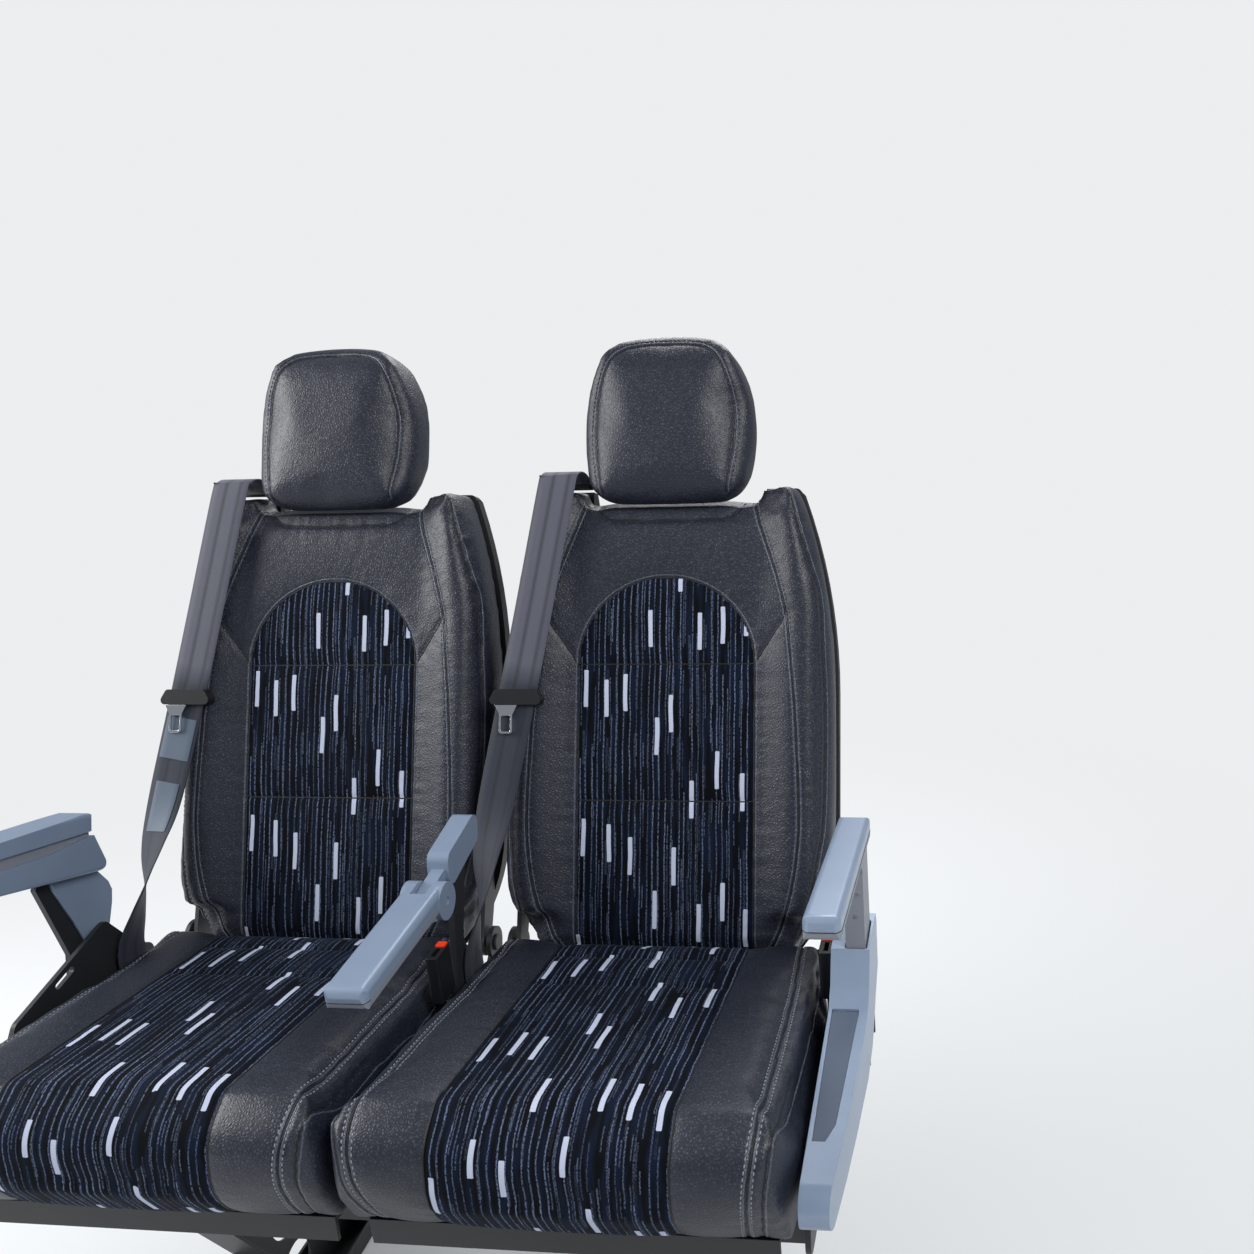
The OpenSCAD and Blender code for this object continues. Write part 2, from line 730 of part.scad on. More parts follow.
// Ends of its sloping top: the rear one from the junction line, the front one from the nose
shelf_rear_in = 190;
shelf_rear_rise = 17;
shelf_front_in = 43;
shelf_front_drop = 8;
shelf_rear = [junction_y - shelf_rear_in, junction_z + shelf_rear_rise];
shelf_front = [nose_y + shelf_front_in, junction_z - shelf_front_drop];
shelf_slope = (shelf_rear.y - shelf_front.y) / (shelf_rear.x - shelf_front.x);
shelf_angle = atan(shelf_slope);
nose_end_r = 24;
nose_end = shelf_front - nose_end_r * [-sin(shelf_angle), cos(shelf_angle)];
housing_in = 145;
housing_l = 85;
housing_step = 19;
housing_step_rise = 35;
housing_front = [junction_y - housing_in - housing_step, junction_z + housing_step_rise];
housing_y = [junction_y - housing_in, junction_y - housing_in + housing_l];
shell_low = [
    [nose_y + 175, junction_z - 58], [housing_y[0] - 5, junction_z - 50], [housing_y[1] - 2, junction_z + 1]];
shell_draw = [16, 8];
post_w = 22;
post_l = 60;
post_in = 143;
post_aside = 5;
post_y = [junction_y - post_in, junction_y - post_in + post_l];
post_x = shell_out - post_aside - post_w;
post_r = 4;
slot_gap = 1.5;

function shelf_z(y, t = 0) = shelf_rear.y + (y - shelf_rear.x) * shelf_slope - t;

// Top edge of the shell's side outline, from the rear to the shelf, pulled in by t
function shell_top_edge(t) = [
    [housing_y[1] - t, shell_top - 12], [housing_y[1] - 6, shell_top - t], [housing_y[0], shell_top - t],
    housing_front - [0, t], shelf_rear - [0, t],
];

module shell_side() {
    polygon(concat(
        shell_top_edge(0), arc(nose_end.x, nose_end.y, nose_end_r, 90 + shelf_angle, 265, 10), shell_low));
}

// Side outline of its hollow, open below behind the nose
module shell_hollow_side(t) {
    open_y = nose_y + 75;
    polygon(concat(
        shell_top_edge(t), arc(nose_end.x, nose_end.y, nose_end_r - t, 90 + shelf_angle, 250, 10),
        [[open_y, junction_z - 55], [open_y, beam_top], [housing_y[1] - t, beam_top]]));
}

// Plan of the shell: its outer side drawn in towards the nose
module shell_plan(t = 0) {
    polygon([[shell_x + t, nose_y], [shell_out - shell_draw[0] - t, nose_y],
             [shell_out - shell_draw[1] - t, nose_y + 105], [shell_out - t, nose_y + 255],
             [shell_out - t, junction_y], [shell_x + t, junction_y]]);
}

module end_shell() {
    slot = [slot_gap, slot_gap];
    color(silver) difference() {
        intersection() {
            plate(shell_x, end_shell_w) shell_side();
            linear_extrude(beyond) shell_plan();
        }
        intersection() {
            plate(shell_x, end_shell_w) shell_hollow_side(end_shell_wall);
            linear_extrude(beyond) shell_plan(end_shell_wall);
        }
        translate([0, 0, beam_top]) linear_extrude(beyond) polygon(soft_box(
            [post_x, post_y[0]] - slot, [post_x + post_w, post_y[1]] + slot, post_r, post_r));
        inset_cut(0);
    }
}

// Shallow seat of the inset panel in the sloping top face
inset_depth = 1.6;
inset_y = [nose_y + 93, shelf_rear.x + 4];

module inset_cut(play) {
    intersection() {
        plate(shell_x, end_shell_w) polygon([
            [inset_y[1], shelf_z(inset_y[1], inset_depth - play)], [inset_y[1], shell_top],
            [inset_y[0], shell_top], [inset_y[0], shelf_z(inset_y[0], inset_depth - play)]]);
        linear_extrude(beyond) polygon([
            [shell_x + 4 + play, inset_y[1] - play], [shell_x + 5 + play, inset_y[0] + play],
            [shell_x + 18, inset_y[0] + play], [shell_out - 18 - play, inset_y[0] + 22],
            [shell_out - 10 - play, inset_y[1] - play]]);
    }
}

module end_shell_inset() {
    color("#5c6268") intersection() {
        inset_cut(gap / 2);
        plate(shell_x, end_shell_w) polygon([
            [inset_y[1] + 10, shelf_z(inset_y[1] + 10, 0.4)], [nose_y, shelf_z(nose_y, 0.4)],
            [nose_y, beam_top], [inset_y[1] + 10, beam_top]]);
    }
}

// Steel channel under the slot that the post slides in, held off the end plate by its foot
channel_play = 0.3;
channel_t = 2.5;
channel_drop = 83;
channel_top_in = 10;
channel_z = [junction_z - channel_drop, shell_top - channel_top_in];
channel_foot = 16;

module post_guide() {
    a = [post_x - channel_play - channel_t, post_y[0] - channel_play - channel_t, channel_z[0]];
    b = [post_x + post_w + 1, post_y[1] + channel_play + channel_t, channel_z[1]];
    color(steel_dark) difference() {
        union() {
            block(a, b);
            block([end_plate_x + end_plate_t, a.y + 12, a.z], [a.x + over, b.y - 12, a.z + channel_foot]);
        }
        block([a.x + channel_t, a.y + channel_t, 0], [b.x + over, b.y - channel_t, beyond]);
    }
}

// Armrest pad l long, w wide and t thick: its rear end's top is at the origin and it
// points to -Y. Its ends are round in plan, its upper edges softer than its lower ones
module pad(l, w, t, nose, edge) {
    intersection() {
        plate(-w / 2, w) polygon(rounded([
            [nose - l, 0.7 * nose - t, 0.7 * nose], [-8, 8 - t, 8], [-9, -9, 9], [nose - l, -nose, nose]]));
        bar(-l - over, over) polygon(soft_box([-w / 2, -t], [w / 2, 0], edge / 2, edge));
        translate([0, 0, -t - over]) linear_extrude(t + 2 * over) polygon(soft_box(
            [-w / 2, -l], [w / 2, 0], 10, 7));
    }
}

// Aisle armrest: a post that slides in the channel, under a sloping pad
aisle_pad_slope = 7.8;
aisle_pad_l = 292;
aisle_pad_t = 24;
aisle_pad_in = 103;
aisle_pad_rise = 215;
aisle_pad_rear = [junction_y - aisle_pad_in, junction_z + aisle_pad_rise];
flare_room = 3;
flare_z = shell_top + aisle_travel + flare_room;
post_drop = 30;
post_low = junction_z - post_drop;
post_head = [post_y[0] - 26, post_y[1] - 14];

// Line of the pad's underside at y
function aisle_pad_under(y) =
    aisle_pad_rear.y + (aisle_pad_rear.x - y) * tan(aisle_pad_slope) - aisle_pad_t / cos(aisle_pad_slope);

module aisle_arm_post() {
    color(silver) intersection() {
        plate(post_x, post_w) polygon([
            [post_y[0], post_low], [post_y[1], post_low], [post_y[1], flare_z],
            [post_head[1], aisle_pad_under(post_head[1]) - gap],
            [post_head[0], aisle_pad_under(post_head[0]) - gap],
            [post_y[0] - 6, flare_z + 8], [post_y[0], flare_z]]);
        linear_extrude(beyond) polygon(soft_box(
            [post_x, post_head[0]], [post_x + post_w, post_y[1]], post_r, post_r));
    }
}

module aisle_arm_pad() {
    color(silver) translate([post_x + post_w / 2, aisle_pad_rear.x, aisle_pad_rear.y])
        rotate([-aisle_pad_slope, 0, 0]) pad(aisle_pad_l, aisle_pad_w, aisle_pad_t, 9, 7);
}

// Steel stanchion between the seats, with the moulded stalk of the centre armrest on it
centre_pin_in = 156;
centre_pin_rise = 127;
centre_pin = [junction_y - centre_pin_in, junction_z + centre_pin_rise];
stalk_w = 26;
stalk_r = 13;
stalk_l = 67;
stalk_rise = 138;
stalk_h = 15;
stalk_front_y = junction_y - centre_pin_in + 47;
stalk_z = junction_z + stalk_rise;
stalk_front = [[stalk_front_y, stalk_z], [stalk_front_y + 2, stalk_z + stalk_h]];
stalk_rear_y = stalk_front_y + stalk_l;
stalk_rear = [[stalk_rear_y, stalk_z + stalk_h], [stalk_rear_y + 2, stalk_z + stalk_h + 12]];
stanchion_foot_in = 210;
knee_in = 126;
knee_drop = 35;
neck_in = 96;
neck_rise = 125;
stanchion_top = stalk_z + stalk_h + 10;
fork_tongue_w = 16;
fork_tongue_r = 15;
knuckle_r = 22;

module centre_stanchion() {
    foot_y = [junction_y - stanchion_foot_in, rear_beam_y + beam / 2];
    color(steel_dark) plate(-stanchion_t / 2, stanchion_t) polygon([
        [foot_y[0], beam_top], [foot_y[1], beam_top], [foot_y[1], beam_top + 22],
        [junction_y - neck_in + 2, beam_top + 50], [junction_y - neck_in + 9, junction_z + 45],
        [stalk_rear[0].x - 8, stanchion_top - 18], [stalk_rear[0].x - 18, stanchion_top],
        [stalk_front[1].x + 12, stanchion_top], [junction_y - neck_in, junction_z + neck_rise],
        [junction_y - knee_in, junction_z - knee_drop], [foot_y[0], beam_top + 22]]);
}

module centre_stalk() {
    slot_x = stanchion_t / 2 + gap;
    color(silver) difference() {
        union() {
            plate(-stalk_w / 2, stalk_w) polygon(rounded([
                [stalk_front[0].x, stalk_front[0].y, stalk_r], [stalk_rear[0].x, stalk_rear[0].y, stalk_r - 1],
                [stalk_rear[1].x, stalk_rear[1].y, stalk_r], [stalk_front[1].x, stalk_front[1].y, stalk_r]]));
            plate(-fork_tongue_w / 2, fork_tongue_w) polygon(rounded([
                [centre_pin.x, centre_pin.y, fork_tongue_r], [stalk_front[0].x, stalk_front[0].y - 1, 10.5],
                [stalk_front[0].x, stalk_front[0].y + 1, 10.5]]));
        }
        translate([-stalk_w, centre_pin.x, centre_pin.y]) rotate([0, 90, 0])
            cylinder(d = arm_pin_d + 2 * pin_play, h = 2 * stalk_w);
        // Slot that the stanchion's head stands in
        block([-slot_x, stalk_front[1].x + 11, centre_pin.y - knuckle_r],
              [slot_x, stalk_rear[0].x + 2, stanchion_top + gap]);
    }
}

// Centre armrest: a pad that runs into a knuckle with two ears and its pin
centre_pad_slope = -2.6;
centre_pad_l = 208;
centre_pad_t = 26;
fork_front = 21;
// Radius and depth of the recesses
recess = [4.5, 1.6];

module centre_arm() {
    half = centre_pad_w / 2;
    ear = fork_tongue_w / 2 + fork_play;
    under = centre_pin.y + knuckle_r - centre_pad_t;
    web_inset = 6;
    color(silver) union() {
        difference() {
            union() {
                translate([0, centre_pin.x, centre_pin.y]) rotate([-centre_pad_slope, 0, 0])
                    translate([0, 9, knuckle_r - 0.6]) pad(centre_pad_l, centre_pad_w, centre_pad_t, 9, 8);
                translate([-half - 0.6, centre_pin.x, centre_pin.y]) rotate([0, 90, 0])
                    cylinder(r = knuckle_r, h = centre_pad_w + 1.2);
                // Hollowed web between the pad's underside and the knuckle
                plate(web_inset - half, centre_pad_w - 2 * web_inset) difference() {
                    polygon([[centre_pin.x - 60, under + 4], [centre_pin.x, under + 4],
                             [centre_pin.x - 4, centre_pin.y - knuckle_r + 1]]);
                    translate([centre_pin.x - 54, centre_pin.y - 2.8 * knuckle_r]) circle(r = 2.1 * knuckle_r);
                }
            }
            // Recess over each end of the pin
            for (s = [-1, 1])
                translate([s * (half + 0.6 - recess[1]), centre_pin.x, centre_pin.y]) rotate([0, s * 90, 0])
                    cylinder(r = recess[0], h = recess[1] + over);
            // Fork for the stalk's tongue
            block([-ear, centre_pin.x - fork_front, centre_pin.y - 2 * knuckle_r],
                  [ear, centre_pin.x + 2 * knuckle_r, centre_pin.y + 2 * knuckle_r]);
        }
        translate([2 - half, centre_pin.x, centre_pin.y]) rotate([0, 90, 0])
            cylinder(d = arm_pin_d, h = centre_pad_w - 4);
    }
}

// Window armrest: a steel strut on the end plate under a moulded cover, a body that turns on
// it and a pad on top
window_pin_in = 94;
window_pin_rise = 142;
window_pin = [junction_y - window_pin_in, junction_z + window_pin_rise];
window_out = -end_plate_x - end_plate_t;
window_tilt = 17;
window_l = 252;
gusset_t = 12;
strut_t = 7;
gusset_head = 14;
gusset_x = window_out - window_pad_w / 2 - gusset_t / 2;
gusset_low = beam_top + 6;
strut_foot = [-52, 20];
strut_foot_rise = [4, 54];
strut_slot = [16, 42];
window_pocket = [80, 60, 130];

// Outlines round the pin: the strut down to its foot, and the fin-shaped cover
strut_edge = [[12, -3], [-9, 9], [-64, -1], [-70, -9], [-43, -112], [-56, -170],
              [-60, gusset_low - window_pin.y], [22, gusset_low - window_pin.y],
              [18, -170], [2, -118], [10, -44]];
cover_edge = [[-8, 10], [-45, -5], [-50, -13], [-49, -22], [-30, -72], [-18, -110], [-12, -124], [-3, -131],
              [8, -129], [22, -116], [38, -84], [43, -68], [40, -55], [24, -30], [12, -5]];

module on_pin(x, w) {
    translate([x, window_pin.x, window_pin.y]) rotate([90, 0, 90]) linear_extrude(w) children();
}

module window_strut() {
    difference() {
        union() {
            on_pin(gusset_x, strut_t) union() {
                polygon(strut_edge);
                circle(r = gusset_head);
            }
            block([gusset_x + over, window_pin.x + strut_foot[0], gusset_low + strut_foot_rise[0]],
                  [window_out + over, window_pin.x + strut_foot[1], gusset_low + strut_foot_rise[1]]);
        }
        on_pin(gusset_x - over, gusset_t + 2 * over) circle(d = arm_pin_d + 2 * pin_play);
        // Slot through the foot, open to the front and rear
        block([gusset_x + strut_t + 3, window_pin.x + strut_foot[0] - 20, gusset_low + strut_slot[0]],
              [window_out - 3, window_pin.x + strut_foot[1] + 20, gusset_low + strut_slot[1]]);
    }
}

module window_arm_bracket() {
    color(silver) on_pin(gusset_x + strut_t + gap, gusset_t - strut_t - gap) difference() {
        union() {
            polygon(cover_edge);
            circle(r = gusset_head);
        }
        circle(d = arm_pin_d + 2 * fork_play);
    }
}

// Place in the armrest's own frame, with the pin at its origin and +Y to the rear
module on_window_arm() {
    translate([window_out - window_pad_w / 2, window_pin.x, window_pin.y])
        rotate([-window_tilt, 0, 0]) children();
}

// Body: underside, heel behind the pin, and a top that rises to the rear under the pad. A wedge
// is set in between body and pad, deepest ahead of the pin
body_end_r = 9;
body_heel = [19.5, -12];
body_crown = [-1, 22];
body_tip = [11 - window_l, 0, 9];
body_belly = [102 - window_l, -8.5];
wedge_in = 4.5;
wedge_edge = [[40, 26], [0, 26], [-56, 15.4],
              [110 - window_l, 9.2], [47 - window_l, 10], [18 - window_l, 16.5]];
body_top = body_crown.y + body_end_r;

module window_arm_body() {
    half = window_pad_w / 2;
    color(silver) union() {
        difference() {
            on_window_arm() difference() {
                intersection() {
                    plate(-half, window_pad_w) polygon(rounded([
                        [body_tip.x, body_tip.y, body_end_r], [body_belly.x, body_belly.y, body_end_r],
                        [body_heel.x, body_heel.y, body_end_r], [body_crown.x, body_crown.y, body_end_r],
                        [body_tip.x, body_tip[2], body_end_r]]));
                    bar(-window_l, body_heel.x + 2 * body_end_r) polygon(soft_box(
                        [-half, body_heel.y - body_end_r - over], [half, body_top + over], 7, 4));
                }
                for (s = [-1, 1])
                    plate(s > 0 ? half - wedge_in : -half - over, wedge_in + over) polygon(concat(
                        wedge_edge, [[wedge_edge[5].x, 2 * body_top], [wedge_edge[0].x, 2 * body_top]]));
                plate(-half - over, window_pad_w + 2 * over) polygon([
                    [body_crown.x + body_end_r - wedge_in, wedge_edge[0].y], wedge_edge[0],
                    [wedge_edge[0].x, 2 * body_top], [body_crown.x + body_end_r - wedge_in, 2 * body_top]]);
            }
            // Pocket that the strut and its cover stand in
            block([gusset_x - 2, window_pin.x - window_pocket[0], window_pin.y - window_pocket[2]],
                  [gusset_x + gusset_t + 2, window_pin.x + window_pocket[1], window_pin.y + gusset_head + 2]);
        }
        on_pin(gusset_x - 3, gusset_t + 6) circle(d = arm_pin_d);
    }
}

// Pad on the body, its top rising more to the rear than its underside
window_pad_t = [16, 23];

module window_arm_pad() {
    half = window_pad_w / 2;
    tip = [body_tip.x - 3, body_tip[2] + body_end_r + gap];
    heel = [body_crown.x, body_top + gap];
    color(silver) on_window_arm() intersection() {
        plate(-half, window_pad_w) polygon(rounded([
            [tip.x, tip.y + 5, 5], [heel.x + 3, heel.y + 5.4, 5],
            [heel.x, heel.y + window_pad_t[1] - 8, 8], [tip.x + 1, tip.y + window_pad_t[0] - 7, 7]]));
        bar(-window_l, 2 * body_end_r) polygon(soft_box(
            [-half, 0], [half, heel.y + window_pad_t[1] + over], 2, 8));
        linear_extrude(2 * body_top + window_pad_t[1]) polygon(soft_box(
            [-half, -window_l], [half, heel.x + 9], 10, 8));
    }
}

leg(window);  // leg_window
leg(aisle);  // leg_aisle
cross_beam(front_beam_y);  // front_beam
cross_beam(rear_beam_y);  // rear_beam
end_plate(window);  // end_plate_window
end_plate(aisle);  // end_plate_aisle
hinge_brackets();
seat_pan(window);  // seat_pan_window
seat_pan(aisle);  // seat_pan_aisle
seat_cushion(window);  // seat_cushion_window
seat_cushion(aisle);  // seat_cushion_aisle
end_shell();
end_shell_inset();
post_guide();
centre_stanchion();
centre_stalk();
window_arm_bracket();
buckle(window);  // buckle_window
buckle(aisle);  // buckle_aisle
buckle_button(window);  // buckle_button_window
buckle_button(aisle);  // buckle_button_aisle
belt_anchor(window);  // belt_anchor_window
belt_anchor(aisle);  // belt_anchor_aisle
back_pad(window);  // back_pad_window
back_shell(window);  // back_shell_window
recline_arms(window);  // recline_arms_window
headrest(window);  // headrest_window
belt_guide(window);  // belt_guide_window
belt(window);  // belt_window
belt_tongue(window);  // belt_tongue_window
belt_latch(window);  // belt_latch_window
back_pad(aisle);  // back_pad_aisle
back_shell(aisle);  // back_shell_aisle
recline_arms(aisle);  // recline_arms_aisle
headrest(aisle);  // headrest_aisle
belt_guide(aisle);  // belt_guide_aisle
belt(aisle);  // belt_aisle
belt_tongue(aisle);  // belt_tongue_aisle
belt_latch(aisle);  // belt_latch_aisle
centre_arm();
aisle_arm_pad();
aisle_arm_post();
window_arm_pad();
window_arm_body();
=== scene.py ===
# Looks of a twin coach seat: padded covers, stitching, belts, finishes, light and camera.
# Sizes are in metres; MM turns millimetres into them. A back has its own frame: x from the
# middle of its seat, off behind the front plane of its padding, and s up along the back.
import contextlib
import json
import math

import bmesh
import bpy
import numpy as np
from mathutils import Matrix, Vector, noise
from mathutils.bvhtree import BVHTree
from mathutils.kdtree import KDTree


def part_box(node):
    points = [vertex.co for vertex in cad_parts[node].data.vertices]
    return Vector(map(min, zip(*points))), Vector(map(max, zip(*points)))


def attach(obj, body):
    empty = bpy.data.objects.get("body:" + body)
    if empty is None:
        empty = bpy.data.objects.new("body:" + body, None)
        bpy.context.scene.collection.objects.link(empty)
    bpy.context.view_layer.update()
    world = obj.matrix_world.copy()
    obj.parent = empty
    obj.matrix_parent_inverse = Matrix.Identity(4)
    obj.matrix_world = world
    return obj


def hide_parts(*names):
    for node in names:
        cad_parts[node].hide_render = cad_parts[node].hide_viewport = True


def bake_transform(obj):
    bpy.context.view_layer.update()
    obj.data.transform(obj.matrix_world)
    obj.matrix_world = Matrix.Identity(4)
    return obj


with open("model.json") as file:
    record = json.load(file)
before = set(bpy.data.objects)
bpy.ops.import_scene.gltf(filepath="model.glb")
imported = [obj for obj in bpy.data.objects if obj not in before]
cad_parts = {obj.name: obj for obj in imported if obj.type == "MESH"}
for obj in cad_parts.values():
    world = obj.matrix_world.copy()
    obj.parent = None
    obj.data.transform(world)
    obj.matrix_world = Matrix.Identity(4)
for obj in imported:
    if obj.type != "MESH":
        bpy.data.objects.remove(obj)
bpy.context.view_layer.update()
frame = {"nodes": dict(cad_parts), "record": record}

MM = 0.001
SIDES = ("window", "aisle")
scene = bpy.context.scene
SLOT = {part["node"]: part["material_slot"] for part in frame["record"]["subparts"]}
BODIES = frame["record"]["behaviour"]["bodies"]
BODY = {node: body for body, nodes in BODIES.items() for node in nodes}

# The line where cushion and back meet, and the lean of the backs
JUNCTION_Y = 190 * MM
JUNCTION_Z = 435 * MM
LEAN = math.radians(21)


def middle(side):
    """The middle of a seat, across"""
    low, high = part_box(f"seat_cushion_{side}")
    return (low.x + high.x) / 2


def to_back(side, points):
    """World points as x, off and s of that side's back"""
    p = np.asarray(points, float) - (middle(side), JUNCTION_Y, JUNCTION_Z)
    off = p[:, 1] * math.cos(LEAN) - p[:, 2] * math.sin(LEAN)
    up = p[:, 1] * math.sin(LEAN) + p[:, 2] * math.cos(LEAN)
    return np.stack([p[:, 0], off, up], axis=1)


def from_back(side, local):
    """World points from x, off and s of that side's back"""
    p = np.atleast_2d(np.asarray(local, float))
    y = JUNCTION_Y + p[:, 2] * math.sin(LEAN) + p[:, 1] * math.cos(LEAN)
    z = JUNCTION_Z + p[:, 2] * math.cos(LEAN) - p[:, 1] * math.sin(LEAN)
    return np.stack([p[:, 0] + middle(side), y, z], axis=1)


BACK_DEEPER = Vector((0, math.cos(LEAN), -math.sin(LEAN)))


# Nodes of materials and of geometry trees

def colour(code):
    """An sRGB hex colour as linear RGBA"""
    parts = [int(code[i:i + 2], 16) / 255 for i in (1, 3, 5)]
    return tuple(c / 12.92 if c <= 0.04045 else ((c + 0.055) / 1.055) ** 2.4 for c in parts) + (1.0,)


def output_of(value):
    """A node's first output in use; anything else as it is"""
    return next(o for o in value.outputs if o.enabled) if isinstance(value, bpy.types.Node) else value


def add(tree, kind, inputs=(), **settings):
    """Adds a node with its settings; each input is a value, or the node or socket it links to.
    A kind without Node in its name is a shader node, and may name its operation after a point"""
    kind, _, operation = kind.partition(".")
    node = tree.nodes.new(kind if "Node" in kind else "ShaderNode" + kind)
    if operation:
        node.operation = operation
    for name, value in settings.items():
        setattr(node, name, value)
    for key, value in inputs.items() if isinstance(inputs, dict) else enumerate(inputs):
        value = output_of(value)
        if isinstance(value, bpy.types.NodeSocket):
            tree.links.new(value, node.inputs[key])
        else:
            node.inputs[key].default_value = value
    return node


def finish_of(name, constants):
    """A new material, its tree and its shader with the shader's constants set"""
    mat = bpy.data.materials.new(name)
    mat.use_nodes = True
    tree = mat.node_tree
    shader = tree.nodes["Principled BSDF"]
    for key, value in constants.items():
        shader.inputs[key].default_value = value
    return mat, tree, shader


def join(tree, shader, **linked):
    """Links sockets of the shader, named with underscores for spaces"""
    for key, source in linked.items():
        tree.links.new(output_of(source), shader.inputs[key.replace("_", " ")])


# Leatherette: PVC calendered on a knit and embossed with a pebble grain. Charcoal and half
# gloss, so that every roll shows a broad sheen that the grain breaks up. Its blue tint is a
# painted reflection of cool daylight.
def leatherette(name, valley_shade, low, high, shine):
    mat, tree, shader = finish_of(name, {"IOR": 1.5, "Coat Weight": 0.05, "Coat Roughness": 0.4})
    at = add(tree, "TexCoord").outputs["Object"]
    stir = add(tree, "TexNoise", {"Vector": at, "Scale": 1 / (7 * MM), "Detail": 2.0})
    push = add(tree, "VectorMath.SCALE", {0: stir.outputs["Color"], "Scale": 4 * MM})
    moved = add(tree, "VectorMath.ADD", [at, push])
    # The real pebbles are about 1 mm; drawn at 3.4 mm, the smallest that the render shows
    pebbles = add(tree, "TexVoronoi", {"Vector": moved, "Scale": 1 / (3.4 * MM)},
                  feature="DISTANCE_TO_EDGE")
    dome = add(tree, "MapRange", {"Value": pebbles, "From Min": 0.0, "From Max": 0.5},
               interpolation_type="SMOOTHSTEP")
    cloud = add(tree, "TexNoise", {"Vector": at, "Scale": 1 / (90 * MM), "Detail": 3.0})
    creases = add(tree, "TexNoise", {"Vector": moved, "Scale": 1 / (14 * MM), "Detail": 2.0})
    height = add(tree, "Math.MULTIPLY_ADD", [creases, 1.6, dome])
    bump = add(tree, "Bump", {"Strength": 0.8, "Distance": 0.38 * MM, "Height": height})
    tone = add(tree, "Mix", {0: cloud, 6: colour(low), 7: colour(high)}, data_type="RGBA")
    # The edges between pebbles take the darker valley colour: painted shade in the grain's creases
    skin = add(tree, "Mix", {0: dome, 6: colour(valley_shade), 7: tone}, data_type="RGBA")
    gloss = add(tree, "MapRange", {"Value": cloud, "To Min": shine - 0.06, "To Max": shine + 0.08})
    join(tree, shader, Base_Color=skin, Roughness=gloss, Normal=bump)
    return mat


# Streaks of the moquette: pitch, width and run in mm, share of runs woven light, strength, seed
STREAKS = [
    (8.2, 1.5, 95, 0.86, 0.80, 3.0),
    (9.7, 1.3, 30, 0.50, 0.55, 11.0),
    (14.0, 3.0, 44, 0.30, 0.20, 23.0),
]
# Dashes: pitch across and along, half length, half width and corner radius in mm
DASHES = (30, 180, 24, 2.8, 1.3)


